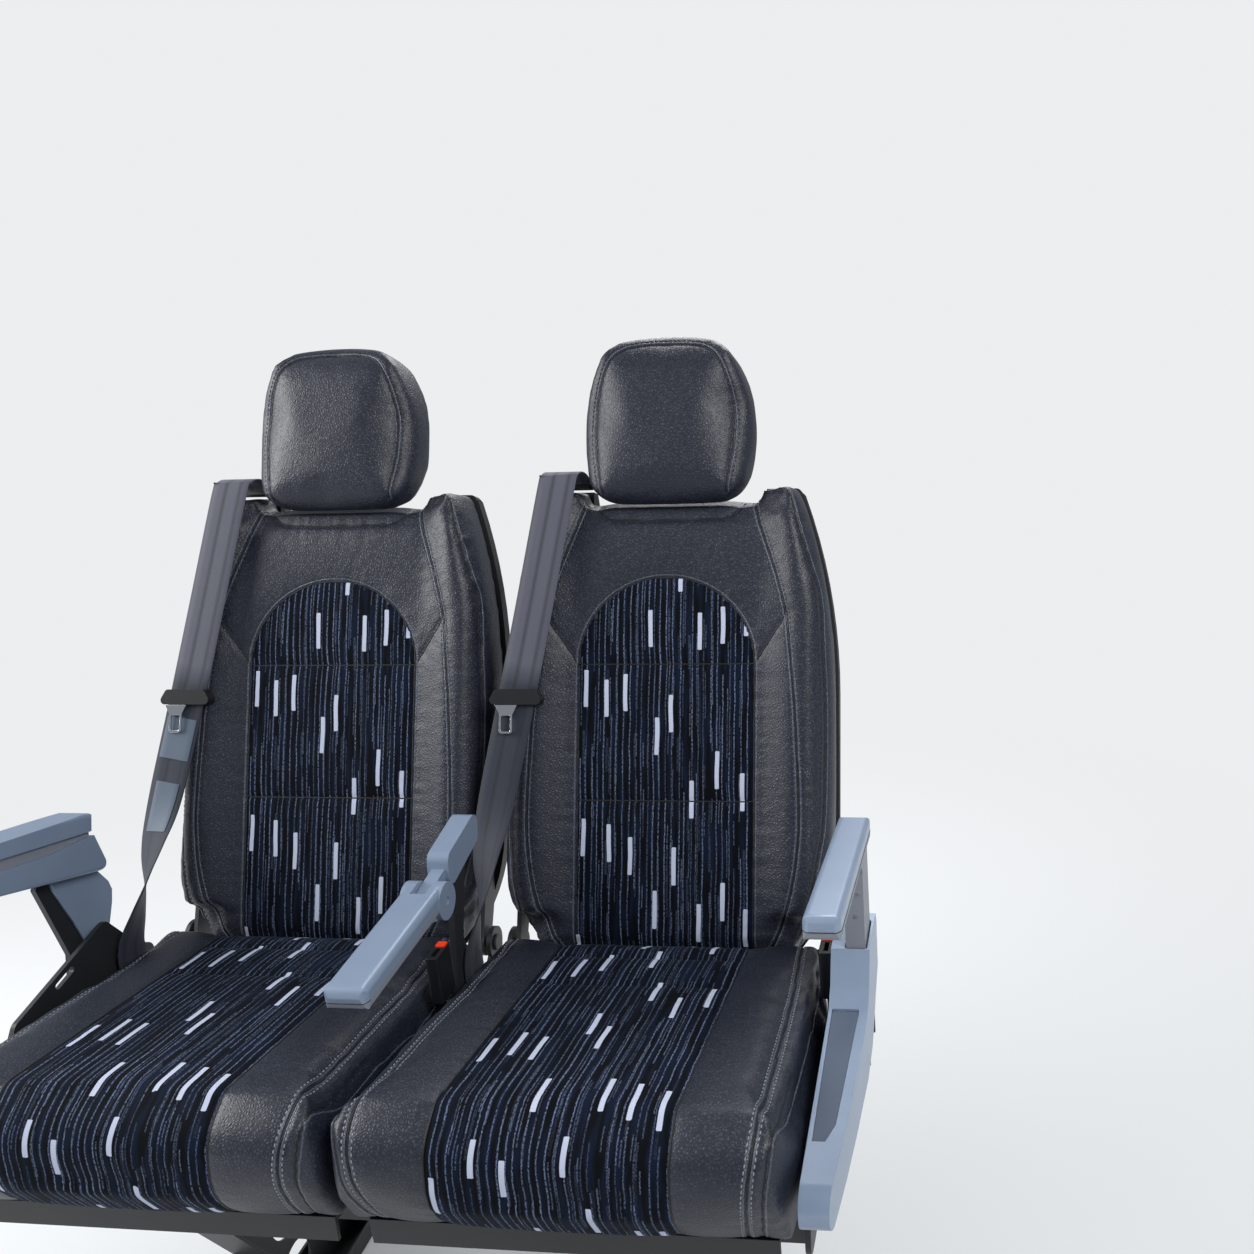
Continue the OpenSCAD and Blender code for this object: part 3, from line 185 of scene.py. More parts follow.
# Moquette: a woven wool plush. Its dark cut pile is matt and soft, with broken slate-blue
# streaks along the warp and sparse pale dashes with square ends.
def moquette():
    mat, tree, shader = finish_of("moquette_woven_plush", {
        "IOR": 1.45, "Specular IOR Level": 0.14, "Sheen Weight": 0.03, "Sheen Roughness": 0.4,
        "Sheen Tint": colour("#9fb0d8")})
    lay = add(tree, "UVMap", uv_map="lay")
    split = add(tree, "SeparateXYZ", [lay])
    wobble = add(tree, "TexNoise", {"Vector": lay, "Scale": 1 / (60 * MM), "Detail": 1.0})
    shifted = add(tree, "Math.MULTIPLY_ADD", [wobble, 4 * MM, split.outputs["X"]])
    across = add(tree, "Math.MULTIPLY", [shifted, 1 / MM])
    along = add(tree, "Math.MULTIPLY", [split.outputs["Y"], 1 / MM])
    grid = add(tree, "CombineXYZ", [across, along])
    fray_at = add(tree, "VectorMath.MULTIPLY", [grid, (1.1, 0.34, 1.0)])
    fray = add(tree, "TexNoise", {"Vector": fray_at, "Scale": 1.0, "Detail": 2.0})
    band_at = add(tree, "VectorMath.MULTIPLY", [grid, (0.16, 0.014, 1.0)])
    band = add(tree, "TexNoise", {"Vector": band_at, "Scale": 1.0, "Detail": 3.0})
    band_step = add(tree, "MapRange", {"Value": band, "From Min": 0.42, "From Max": 0.64})
    cloth = add(tree, "Mix", {0: band_step, 6: colour("#03050b"), 7: colour("#0b1629")},
                data_type="RGBA")
    light = colour("#7a87a6")
    rough = add(tree, "MapRange", {"Value": fray, "From Min": 0.4, "From Max": 0.56})

    def cells(pitch, period, own_seed, turn, seed):
        """Columns across and runs along: the place in a column, the column's own draw, the runs
        and each run's own draw"""
        scaled = add(tree, "Math.DIVIDE", [across, pitch])
        column = add(tree, "Math.FLOOR", [scaled])
        place = add(tree, "Math.FRACT", [scaled])
        own_at = add(tree, "CombineXYZ", [column, own_seed])
        own = add(tree, "TexWhiteNoise", {"Vector": own_at}, noise_dimensions="3D")
        start = add(tree, "Math.MULTIPLY", [own, turn])
        runs = add(tree, "Math.MULTIPLY_ADD", [along, 1 / period, start])
        row = add(tree, "Math.FLOOR", [runs])
        run_at = add(tree, "CombineXYZ", [column, row, seed])
        chance = add(tree, "TexWhiteNoise", {"Vector": run_at}, noise_dimensions="3D")
        return place, own, runs, chance

    for pitch, width, run, share, strength, seed in STREAKS:
        place, own, runs, chance = cells(pitch, run, seed, 37.0, seed)
        centre = add(tree, "MapRange", {"Value": own, "To Min": 0.3, "To Max": 0.7})
        aside = add(tree, "Math.SUBTRACT", [place, centre])
        distance = add(tree, "Math.ABSOLUTE", [aside])
        line = add(tree, "MapRange", {
            "Value": distance, "From Min": (width / 2 - 0.3) / pitch,
            "From Max": (width / 2 + 0.3) / pitch, "To Min": 1.0, "To Max": 0.0},
            interpolation_type="SMOOTHSTEP")
        woven = add(tree, "Math.LESS_THAN", [chance, share])
        depth = add(tree, "MapRange", {
            "Value": chance, "From Max": share, "To Min": 0.25, "To Max": 1.0})
        amount = line
        for factor in (woven, depth, rough, strength):
            amount = add(tree, "Math.MULTIPLY", [amount, factor])
        cloth = add(tree, "Mix", {0: amount, 6: cloth, 7: light}, data_type="RGBA")
    pitch, period, half_length, half_width, corner = DASHES
    place, own, runs, chance = cells(pitch, period, 71.0, 29.0, 5.0)
    up = add(tree, "Math.FRACT", [runs])
    centre = add(tree, "MapRange", {"Value": chance, "To Min": 0.25, "To Max": 0.75})
    aside = add(tree, "Math.SUBTRACT", [place, centre])
    aside_mm = add(tree, "Math.MULTIPLY", [aside, pitch])
    sideways = add(tree, "Math.ABSOLUTE", [aside_mm])
    past = add(tree, "Math.SUBTRACT", [sideways, half_width - corner])
    past_side = add(tree, "Math.MAXIMUM", [past, 0.0])
    higher = add(tree, "MapRange", {"Value": chance.outputs["Color"], "To Min": 0.28, "To Max": 0.72})
    rise = add(tree, "Math.SUBTRACT", [up, higher])
    rise_mm = add(tree, "Math.MULTIPLY", [rise, period])
    beyond = add(tree, "Math.ABSOLUTE", [rise_mm])
    past = add(tree, "Math.SUBTRACT", [beyond, half_length - corner])
    past_end = add(tree, "Math.MAXIMUM", [past, 0.0])
    offset = add(tree, "CombineXYZ", [past_side, past_end])
    far = add(tree, "VectorMath.LENGTH", [offset])
    dash = add(tree, "MapRange", {
        "Value": far.outputs["Value"], "From Min": corner - 0.35, "From Max": corner + 0.35,
        "To Min": 1.0, "To Max": 0.0}, interpolation_type="SMOOTHSTEP")
    cloth = add(tree, "Mix", {0: dash, 6: cloth, 7: colour("#bcc3d8")}, data_type="RGBA")
    pile = add(tree, "TexNoise", {"Vector": grid, "Scale": 0.9, "Detail": 3.0})
    raised = add(tree, "Math.MULTIPLY_ADD", [dash, 0.6, pile])
    bump = add(tree, "Bump", {"Strength": 0.35, "Distance": 0.5 * MM, "Height": raised})
    matt = add(tree, "MapRange", {"Value": pile, "To Min": 0.72, "To Max": 0.95})
    join(tree, shader, Base_Color=cloth, Roughness=matt, Normal=bump)
    return mat


def speckled(name, base, second, rough, grain, depth, constants=None):
    """A hard finish: two close tones in soft clouds, and a fine grain in the surface"""
    mat, tree, shader = finish_of(name, constants or {"IOR": 1.5})
    at = add(tree, "TexCoord").outputs["Object"]
    cloud = add(tree, "TexNoise", {"Vector": at, "Scale": 1 / (45 * MM), "Detail": 4.0})
    tone = add(tree, "Mix", {0: cloud, 6: colour(base), 7: colour(second)}, data_type="RGBA")
    fine = add(tree, "TexNoise", {"Vector": at, "Scale": 1 / (grain * MM), "Detail": 3.0})
    bump = add(tree, "Bump", {"Strength": 0.4, "Distance": depth * MM, "Height": fine})
    gloss = add(tree, "MapRange", {"Value": fine, "To Min": rough - 0.06, "To Max": rough + 0.06})
    join(tree, shader, Base_Color=tone, Roughness=gloss, Normal=bump)
    return mat


# Length along the webbing over which its colour changes, under the stop
TONE_CHANGE_ALONG = (320 * MM, 350 * MM)


# Webbing: polyester in a five-panel weave. Dull, with lengthwise grooves between the panels
# and a fine herringbone that catches a little light. Its colour follows the weave's height:
# painted shade in the grooves, painted highlight on the ridges and the herringbone. The part
# above the stop is paler and the part below is darker.
def webbing():
    mat, tree, shader = finish_of("polyester_webbing_woven", {
        "IOR": 1.5, "Sheen Weight": 0.15, "Sheen Roughness": 0.5, "Sheen Tint": colour("#c8c8d0")})
    lay = add(tree, "UVMap", uv_map="lay")
    split = add(tree, "SeparateXYZ", [lay])
    panels = add(tree, "Math.DIVIDE", [split.outputs["X"], 10 * MM])
    shifted = add(tree, "Math.ADD", [panels, 0.5])
    panel = add(tree, "Math.PINGPONG", [shifted, 1.0])
    edge = add(tree, "MapRange", {"Value": panel, "From Min": 0.0, "From Max": 0.45})
    slope = add(tree, "Math.MULTIPLY", [panel, 10 * MM])
    rising = add(tree, "Math.ADD", [slope, split.outputs["Y"]])
    # The real picks are about 0.7 mm apart; drawn at 2.2 mm, the finest that the render shows
    turns = add(tree, "Math.MULTIPLY", [rising, 2 * math.pi / (2.2 * MM)])
    twill = add(tree, "Math.SINE", [turns])
    weave = add(tree, "Math.MULTIPLY_ADD", [twill, 0.3, edge])
    fuzz = add(tree, "TexNoise", {"Vector": lay, "Scale": 1 / (1.5 * MM), "Detail": 2.0})
    height = add(tree, "Math.MULTIPLY_ADD", [fuzz, 0.5, weave])
    bump = add(tree, "Bump", {"Strength": 0.6, "Distance": 0.3 * MM, "Height": height})
    # Colour from the weave's height: painted shade in the grooves, painted highlight on the ridges
    shade = add(tree, "MapRange", {"Value": height, "From Min": -0.2, "From Max": 1.6})
    dark = add(tree, "Mix", {0: shade, 6: colour("#0d1119"), 7: colour("#262d3b")}, data_type="RGBA")
    pale = add(tree, "Mix", {0: shade, 6: colour("#22242b"), 7: colour("#5a5c6a")}, data_type="RGBA")
    # Paler above this length along the webbing and darker below it
    lower = add(tree, "MapRange", {
        "Value": split.outputs["Y"], "From Min": TONE_CHANGE_ALONG[0], "From Max": TONE_CHANGE_ALONG[1]})
    tone = add(tree, "Mix", {0: lower, 6: pale, 7: dark}, data_type="RGBA")
    matt = add(tree, "MapRange", {"Value": fuzz, "To Min": 0.62, "To Max": 0.8})
    join(tree, shader, Base_Color=tone, Roughness=matt, Normal=bump)
    return mat


# The blue in these tones is a painted reflection of cool daylight
LEATHERETTE = leatherette("leatherette_embossed", "#191d28", "#29303f", "#383f50", 0.44)
# The raised edge of the same hide along its seams: a little glossier, and lighter as a painted
# highlight along the ridge
FOLD_HIGHLIGHT = leatherette("leatherette_edge_painted_highlight", "#3f4552", "#565d6b", "#6b7280", 0.34)
MOQUETTE = moquette()
WEBBING = webbing()
# ABS, injection moulded and painted silver grey: smooth, satin, a little metal in the paint
SILVER_ABS = speckled("abs_moulded_silver_grey", "#7f90a8", "#8b9bb1", 0.36, 0.8, 0.05, {
    "IOR": 1.5, "Metallic": 0.15, "Coat Weight": 0.15, "Coat Roughness": 0.3})
# ABS, moulded in slate grey with a fine spark texture: matt
SLATE_ABS = speckled("abs_moulded_slate", "#4e5a6c", "#586476", 0.55, 1.0, 0.12)
# ABS, moulded in a warmer grey, not painted: matt
GREY_ABS = speckled("abs_moulded_grey", "#7c808b", "#878b95", 0.5, 1.0, 0.1)
# ABS, moulded black with a leather grain: matt, with a faint grain
BLACK_ABS = speckled("abs_moulded_black_grained", "#1a1b1e", "#232427", 0.52, 1.8, 0.25)
# Acetal, moulded black: smooth and a little oily
ACETAL = speckled("acetal_moulded_black", "#141518", "#1c1d20", 0.38, 0.9, 0.06, {"IOR": 1.48})
# Acetal, moulded red: smooth, strong colour
RED_ACETAL = speckled("acetal_moulded_red", "#e8330f", "#f04418", 0.34, 0.9, 0.05, {"IOR": 1.48})
# Steel, powder coated black: an even skin with a fine orange peel
POWDER_COAT = speckled("steel_powder_coated_black", "#1e2022", "#282a2d", 0.46, 2.5, 0.2)
# Steel, pressed and dipped in dark grey primer: flat and slightly uneven
PRIMED = speckled("steel_pressed_primed", "#303336", "#3d4043", 0.5, 2.0, 0.15)
# Steel, chromed and polished: bright, with hairline marks only
CHROME = speckled("steel_chromed", "#c6cacf", "#d2d6da", 0.16, 0.7, 0.01, {"Metallic": 1.0})
# Thread: bonded polyester, grey, with a dull shine
THREAD = speckled("polyester_thread", "#7c8086", "#8b8f95", 0.5, 0.5, 0.05)
# A darker thread, on the backs' inner seams
GREY_THREAD = speckled("polyester_thread_dark_grey", "#2f333a", "#3b4048", 0.5, 0.5, 0.05)
# The same thread in black, on the backs' outer seams and the headrests
DARK_THREAD = speckled("polyester_thread_black", "#0f1114", "#17191d", 0.5, 0.5, 0.05)
# Steel, zinc plated: dull silver with a faint mottle
ZINC = speckled("steel_zinc_plated", "#8a8f94", "#9ca1a5", 0.42, 1.2, 0.03, {"Metallic": 1.0})
# Label: a smooth woven polyester tape, blank
LABEL = speckled("polyester_label_tape", "#4d5a6b", "#566374", 0.6, 0.9, 0.06)

# The fold of leatherette down in a seam: the same hide, all but black in its own shadow
SEAM = speckled("leatherette_seam_fold", "#0c0d10", "#131418", 0.6, 1.0, 0.05)

# Nodes whose finish isn't that of their slot
OWN_FINISH = {"aisle_arm_post": GREY_ABS}
FINISH = {
    "black_steel": POWDER_COAT, "pressed_steel": PRIMED, "moquette": MOQUETTE,
    "leatherette": LEATHERETTE, "shell_plastic": BLACK_ABS, "silver_plastic": SILVER_ABS,
    "inset_plastic": SLATE_ABS, "webbing": WEBBING, "belt_plastic": ACETAL,
    "latch_steel": CHROME, "button_red": RED_ACETAL,
}


# Meshes

def made(name, data):
    """A new object for a mesh, a lamp or a camera"""
    obj = bpy.data.objects.new(name, data)
    scene.collection.objects.link(obj)
    return obj


def points_of(obj):
    flat = np.empty(3 * len(obj.data.vertices))
    obj.data.vertices.foreach_get("co", flat)
    return flat.reshape(-1, 3)


def normals_of(obj):
    flat = np.empty(3 * len(obj.data.vertices))
    obj.data.vertex_normals.foreach_get("vector", flat)
    return flat.reshape(-1, 3)


def set_points(obj, points):
    obj.data.vertices.foreach_set("co", np.asarray(points, float).ravel())
    obj.data.update()


def baked(obj):
    """The object with its modifiers built into a plain mesh"""
    bpy.context.view_layer.update()
    mesh = bpy.data.meshes.new_from_object(obj.evaluated_get(bpy.context.evaluated_depsgraph_get()))
    obj.modifiers.clear()
    obj.data = mesh
    return obj


@contextlib.contextmanager
def sheet_of(mesh):
    """A mesh opened for editing and written back at the end"""
    sheet = bmesh.new()
    sheet.from_mesh(mesh)
    yield sheet
    sheet.to_mesh(mesh)
    sheet.free()


# Corners nearer than this are one, in metres
ONE_CORNER = 0.005 * MM


def copy_of(node, name):
    """A copy of a CAD node's mesh with its loose triangles joined"""
    mesh = frame["nodes"][node].data.copy()
    with sheet_of(mesh) as sheet:
        bmesh.ops.remove_doubles(sheet, verts=sheet.verts, dist=ONE_CORNER)
    mesh.materials.clear()
    return made(name, mesh)


def smooth_shaded(obj, angle=None):
    """Smooth shading, with edges sharper than the angle left sharp"""
    obj.data.shade_smooth()
    if angle is not None:
        obj.data.set_sharp_from_angle(angle=math.radians(angle))
    return obj


# Padded covers

# How each cover is sewn and filled: grid, slack and the most it swells in mm, its pressure, and
# rounds of smoothing before and after it swells
COVERS = {
    "back": {"grid": 6.6, "slack": 2, "cap": 6, "pressure": 3, "rounds": 6, "settling": 5},
    "cushion": {"grid": 6.6, "slack": 3, "cap": 8, "pressure": 3, "rounds": 6, "settling": 3},
    "headrest": {"grid": 5.6, "slack": 1, "cap": 6, "pressure": 2, "rounds": 8, "settling": 16},
}
SWELL_FRAMES = 20
# Where a cover is held fast, in mm: behind these depths of back and headrest, and up to this
# height over a cushion's base
BACK_HELD, HEADREST_HELD, CUSHION_HELD = 50, 70, 8


def inflated(obj, held, pressure, cap):
    """Foam pushing out a sewn cover: the cloth swells under pressure, no point past the cap"""
    start = points_of(obj)
    group = obj.vertex_groups.new(name="held")
    group.add([int(i) for i in np.flatnonzero(held(start))], 1.0, "REPLACE")
    cloth = obj.modifiers.new("cover", "CLOTH")
    cloth.settings.quality = 4
    cloth.settings.use_pressure = True
    cloth.settings.uniform_pressure_force = pressure
    cloth.settings.effector_weights.gravity = 0
    cloth.settings.vertex_group_mass = group.name
    cloth.point_cache.frame_start = 1
    cloth.point_cache.frame_end = SWELL_FRAMES
    for number in range(1, SWELL_FRAMES + 1):
        scene.frame_set(number)
    swollen = obj.evaluated_get(bpy.context.evaluated_depsgraph_get())
    move = points_of(swollen) - start
    scene.frame_set(1)
    length = np.linalg.norm(move, axis=1, keepdims=True)
    move *= np.minimum(1, cap / np.maximum(length, 1e-9))
    obj.modifiers.clear()
    obj.vertex_groups.clear()
    set_points(obj, start + move)


def cover(node, name, held, grid, slack, cap, pressure, rounds, settling):
    """A sewn cover on the foam that a CAD node stands for, before its seams are sunk"""
    obj = copy_of(node, name)
    even = obj.modifiers.new("even grid", "REMESH")
    even.mode = "VOXEL"
    even.voxel_size = grid * MM
    soft = obj.modifiers.new("soft edges", "SMOOTH")
    soft.factor = 0.5
    soft.iterations = rounds
    baked(obj)
    set_points(obj, points_of(obj) - slack * MM * normals_of(obj))
    inflated(obj, held, pressure, cap * MM)
    settled = obj.modifiers.new("settled", "SMOOTH")
    settled.factor = 0.5
    settled.iterations = settling
    fine = obj.modifiers.new("fine grid", "SUBSURF")
    fine.levels = 1
    fine.render_levels = 1
    return smooth_shaded(baked(obj))


# Seams

def curve_through(points, step):
    """A smooth curve through points, as points about one step apart"""
    p = np.asarray(points, float)
    ends = np.vstack([2 * p[0] - p[1], p, 2 * p[-1] - p[-2]])
    out = []
    for i in range(len(p) - 1):
        a, b, c, d = ends[i:i + 4]
        count = max(1, int(round(np.linalg.norm(c - b) / step)))
        t = np.linspace(0, 1, count, endpoint=False)[:, None]
        out.append(0.5 * (2 * b + (c - a) * t + (2 * a - 5 * b + 4 * c - d) * t ** 2
                          + (3 * b - a - 3 * c + d) * t ** 3))
    return np.vstack(out + [p[-1:]])


def beside(line, gap):
    """A line on a flat plan moved sideways by a gap"""
    ahead = np.gradient(line, axis=0)
    ahead /= np.linalg.norm(ahead, axis=1, keepdims=True)
    return line + gap * np.stack([-ahead[:, 1], ahead[:, 0]], axis=1)


# How far a ray looks for a cover, in metres, and how squarely it has to meet it
RAY_REACH, RAY_SQUARE = 0.3, 0.25
# Rays at a back start this far in front of it, in mm
RAY_START = -90.0


def laid(tree, starts, directions):
    """Points and normals where rays meet a cover"""
    spots, ups = [], []
    for start, direction in zip(starts, directions):
        spot, up, _, _ = tree.ray_cast(Vector(start), Vector(direction), RAY_REACH)
        if spot is not None and up.dot(Vector(direction)) < -RAY_SQUARE:
            spots.append(spot)
            ups.append(up)
    return np.array(spots), np.array(ups)


def laid_on_back(side, tree, line):
    """A line on a back's flat plan, in mm, laid on the cover of the back or its headrest"""
    flat = np.stack([line[:, 0], np.full(len(line), RAY_START), line[:, 1]], axis=1)
    return laid(tree, from_back(side, flat * MM), [BACK_DEEPER] * len(line))


# Grooves of the seams in mm: depth and width of the narrow one, then of the wide shallow one
GROOVES = {
    "deep": (1.6, 3.5, 1.6, 14), "headrest": (1.6, 3.5, 1.6, 12), "insert": (1.5, 3.5, 2.2, 18),
    "tuck": (1.4, 3.5, 1.6, 16),
}


# Puckers at a seam: their depth as a share of the wide groove's, their size in mm, and their
# reach as a share of that groove's
PUCKER, PUCKER_SIZE, PUCKER_REACH = 0.35, 9, 1.3


def pressed(obj, lines, groove):
    """The cover sunk along its seams: a narrow groove in a shallow wide one, slightly puckered"""
    depth, width, pull, reach = (size * MM for size in GROOVES[groove])
    samples = np.vstack([spots for spots, ups in lines])
    tree = KDTree(len(samples))
    for i, sample in enumerate(samples):
        tree.insert(sample, i)
    tree.balance()
    points, normals = points_of(obj), normals_of(obj)
    low, high = samples.min(axis=0) - 3 * reach, samples.max(axis=0) + 3 * reach
    near = np.flatnonzero(np.all((points > low) & (points < high), axis=1))
    for i in near:
        spot, _, far = tree.find(points[i])
        if far < 3 * reach:
            pucker = noise.noise(Vector(spot) / (PUCKER_SIZE * MM)) * math.exp(
                -(far / (PUCKER_REACH * reach)) ** 2)
            sink = depth * math.exp(-(far / width) ** 2) + pull * math.exp(-(far / reach) ** 2)
            points[i] -= normals[i] * (sink + PUCKER * pull * pucker)
    set_points(obj, points)


# A corner of the cover this near to a border lies on it
ON_BORDER = 0.25 * MM


def parted(obj, value, inside, outside):
    """Cuts the cover's faces where value changes sign and gives each part its own material"""
    with sheet_of(obj.data) as sheet:
        sheet.verts.ensure_lookup_table()
        level = {v: float(x) for v, x in zip(sheet.verts, value)}
        for v, x in level.items():
            if abs(x) < ON_BORDER:
                level[v] = 0.0
        for e in [e for e in sheet.edges if level[e.verts[0]] * level[e.verts[1]] < 0]:
            a, b = e.verts
            share = level[a] / (level[a] - level[b])
            new = bmesh.utils.edge_split(e, a, share)[1]
            level[new] = 0.0
        for face in list(sheet.faces):
            border = [v for v in face.verts if level[v] == 0.0]
            if len(border) == 2 and not any(set(e.verts) == set(border) for e in face.edges):
                bmesh.utils.face_split(face, border[0], border[1])
        for face in sheet.faces:
            mean = sum(level[v] for v in face.verts)
            face.material_index = 0 if mean < 0 else 1
            face.smooth = True
        obj.data.materials.clear()
        obj.data.materials.append(inside)
        obj.data.materials.append(outside)


def with_lay(obj, across, along):
    """A UV map in metres, so that a woven pattern follows the surface"""
    layer = obj.data.uv_layers.new(name="lay")
    index = np.empty(len(obj.data.loops), int)
    obj.data.loops.foreach_get("vertex_index", index)
    layer.data.foreach_set("uv", np.stack([across[index], along[index]], axis=1).ravel())


def lines_object(name, lines, lift=0.0):
    """Plain edges along lines of points with normals, the normals kept as an attribute"""
    spots = np.vstack([line[0] + lift * line[1] for line in lines])
    ups = np.vstack([line[1] for line in lines])
    edges, first = [], 0
    for line in lines:
        edges += [(first + i, first + i + 1) for i in range(len(line[0]) - 1)]
        first += len(line[0])
    mesh = bpy.data.meshes.new(name)
    mesh.from_pydata(spots.tolist(), edges, [])
    up = mesh.attributes.new("up", "FLOAT_VECTOR", "POINT")
    up.data.foreach_set("vector", ups.astype(np.float32).ravel())
    return made(name, mesh)


def geometry_tree(name, sizes):
    """An empty geometry tree with a geometry input, named sizes, a material input and an output"""
    tree = bpy.data.node_groups.new(name, "GeometryNodeTree")
    sockets = [("Lines", "INPUT", "NodeSocketGeometry")]
    sockets += [(size, "INPUT", "NodeSocketFloat") for size in sizes]
    sockets += [("Material", "INPUT", "NodeSocketMaterial"), ("Made", "OUTPUT", "NodeSocketGeometry")]
    for label, way, kind in sockets:
        tree.interface.new_socket(label, in_out=way, socket_type=kind)
    return tree, add(tree, "NodeGroupInput"), add(tree, "NodeGroupOutput")


def ended(tree, given, result, shape):
    """The tree ended: instances made real, and the material set"""
    real = add(tree, "GeometryNodeRealizeInstances", [shape])
    finished = add(tree, "GeometryNodeSetMaterial", {
        "Geometry": real, "Material": given.outputs["Material"]})
    tree.links.new(finished.outputs[0], result.inputs[0])
    return tree


def stitch_tree():
    """Stitches lying along lines on a surface: short flattened lengths of thread"""
    tree, given, result = geometry_tree("sewn_stitches", ("Pitch", "Length", "Thread"))
    curve = add(tree, "GeometryNodeMeshToCurve", [given.outputs["Lines"]])
    spaced = add(tree, "GeometryNodeResampleCurve", {
        "Curve": curve, "Length": given.outputs["Pitch"]}, mode="LENGTH")
    bead = add(tree, "GeometryNodeMeshUVSphere", {"Segments": 6, "Rings": 4, "Radius": 0.5})
    round_bead = add(tree, "GeometryNodeSetShadeSmooth", [bead])
    flat = add(tree, "Math.MULTIPLY", [given.outputs["Thread"], 0.6])
    size = add(tree, "CombineXYZ", [given.outputs["Length"], given.outputs["Thread"], flat])
    run = add(tree, "GeometryNodeInputTangent")
    up = add(tree, "GeometryNodeInputNamedAttribute", {"Name": "up"}, data_type="FLOAT_VECTOR")
    forward = add(tree, "FunctionNodeAlignRotationToVector", {"Vector": run}, axis="X")
    upright = add(tree, "FunctionNodeAlignRotationToVector", {"Rotation": forward, "Vector": up},
                  axis="Z", pivot_axis="X")
    sewn = add(tree, "GeometryNodeInstanceOnPoints", {
        "Points": spaced, "Instance": round_bead, "Rotation": upright, "Scale": size})
    return ended(tree, given, result, sewn)


def cord_tree():
    """A thin round cord laid along lines"""
    tree, given, result = geometry_tree("seam_cord", ("Pitch", "Radius"))
    curve = add(tree, "GeometryNodeMeshToCurve", [given.outputs["Lines"]])
    spaced = add(tree, "GeometryNodeResampleCurve", {
        "Curve": curve, "Length": given.outputs["Pitch"]}, mode="LENGTH")
    ring = add(tree, "GeometryNodeCurvePrimitiveCircle", {
        "Resolution": 6, "Radius": given.outputs["Radius"]})
    tube = add(tree, "GeometryNodeCurveToMesh", {
        "Curve": spaced, "Profile Curve": ring, "Fill Caps": True})
    soft = add(tree, "GeometryNodeSetShadeSmooth", [tube])
    return ended(tree, given, result, soft)


def fastener_tree():
    """Heads of screws or bolts on points: a washer and a chamfered head with a recess in its top"""
    tree, given, result = geometry_tree(
        "fastener_heads", ("Sides", "Radius", "Height", "Washer", "Drive", "Depth"))

    def prism(sides, radius, taper, height):
        top = add(tree, "Math.MULTIPLY", [radius, taper])
        return add(tree, "GeometryNodeMeshCone", {
            "Vertices": sides, "Radius Bottom": radius, "Radius Top": top, "Depth": height})

    high, deep = given.outputs["Height"], given.outputs["Depth"]
    thin = add(tree, "Math.MULTIPLY", [high, 0.25])
    washer = prism(24, given.outputs["Washer"], 0.96, thin)
    head = prism(given.outputs["Sides"], given.outputs["Radius"], 0.9, high)
    floor_at = add(tree, "Math.SUBTRACT", [high, deep])
    raised = add(tree, "CombineXYZ", {2: floor_at})
    drive = add(tree, "GeometryNodeTransform", {
        "Geometry": prism(6, given.outputs["Drive"], 1.0, high), "Translation": raised})
    cut = add(tree, "GeometryNodeMeshBoolean.DIFFERENCE", {"Mesh 1": head, "Mesh 2": drive})
    whole = add(tree, "GeometryNodeJoinGeometry")
    tree.links.new(cut.outputs[0], whole.inputs[0])
    tree.links.new(washer.outputs[0], whole.inputs[0])
    up = add(tree, "GeometryNodeInputNamedAttribute", {"Name": "up"}, data_type="FLOAT_VECTOR")
    upright = add(tree, "FunctionNodeAlignRotationToVector", {"Vector": up}, axis="Z")
    placed = add(tree, "GeometryNodeInstanceOnPoints", {
        "Points": given.outputs["Lines"], "Instance": whole, "Rotation": upright})
    return ended(tree, given, result, placed)


STITCHES = stitch_tree()
SEAM_CORD = cord_tree()
FASTENER = fastener_tree()


def grown(obj, tree, **values):
    """The plain mesh that a geometry tree makes from an object's lines"""
    modifier = obj.modifiers.new(tree.name, "NODES")
    modifier.node_group = tree
    for item in tree.interface.items_tree:
        if item.in_out == "INPUT" and item.name in values:
            modifier[item.identifier] = values[item.name]
    return baked(obj)


def snapped(tree, line):
    """A line of points moved on to a cover after its seams are sunk"""
    spots, ups = [], []
    for spot in line[0]:
        near, up, _, _ = tree.find_nearest(Vector(spot))
        spots.append(near)
        ups.append(up)
    return np.array(spots), np.array(ups)


# Pitch and length of the stitches, step along a cord, and radius of a pad's joint line, in mm
STITCH_PITCH, STITCH_LENGTH, CORD_STEP, JOINT_LINE = 6.2, 4.4, 3, 0.5


def sew(obj, body, name, rows, seams, welts=(), thread=THREAD):
    """Rows of stitches, the dark line of each seam and the raised fold beside it, on a cover
    whose seams are sunk"""
    tree = BVHTree.FromObject(obj, bpy.context.evaluated_depsgraph_get())
    # Lines, their lift over the cover in mm, how they are drawn, and thickness or radius in mm.
    # The thread is 1 mm thick; drawn at 1.7 mm, the finest that the render shows
    kinds = (("stitches", rows, 0.1, STITCHES, thread, 1.7),
             ("seam_lines", seams, -0.4, SEAM_CORD, SEAM, 1.1),
             ("seam_folds", welts, -0.6, SEAM_CORD, FOLD_HIGHLIGHT, 1.5))
    for kind, lines, lift, grower, finish, size in kinds:
        if lines:
            piece = lines_object(f"{kind}_{name}", [snapped(tree, line) for line in lines], lift * MM)
            if grower is STITCHES:
                grown(piece, STITCHES, Pitch=STITCH_PITCH * MM, Length=STITCH_LENGTH * MM,
                      Thread=size * MM, Material=finish)
            else:
                grown(piece, SEAM_CORD, Pitch=CORD_STEP * MM, Radius=size * MM, Material=finish)
            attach(piece, body)


# Belts

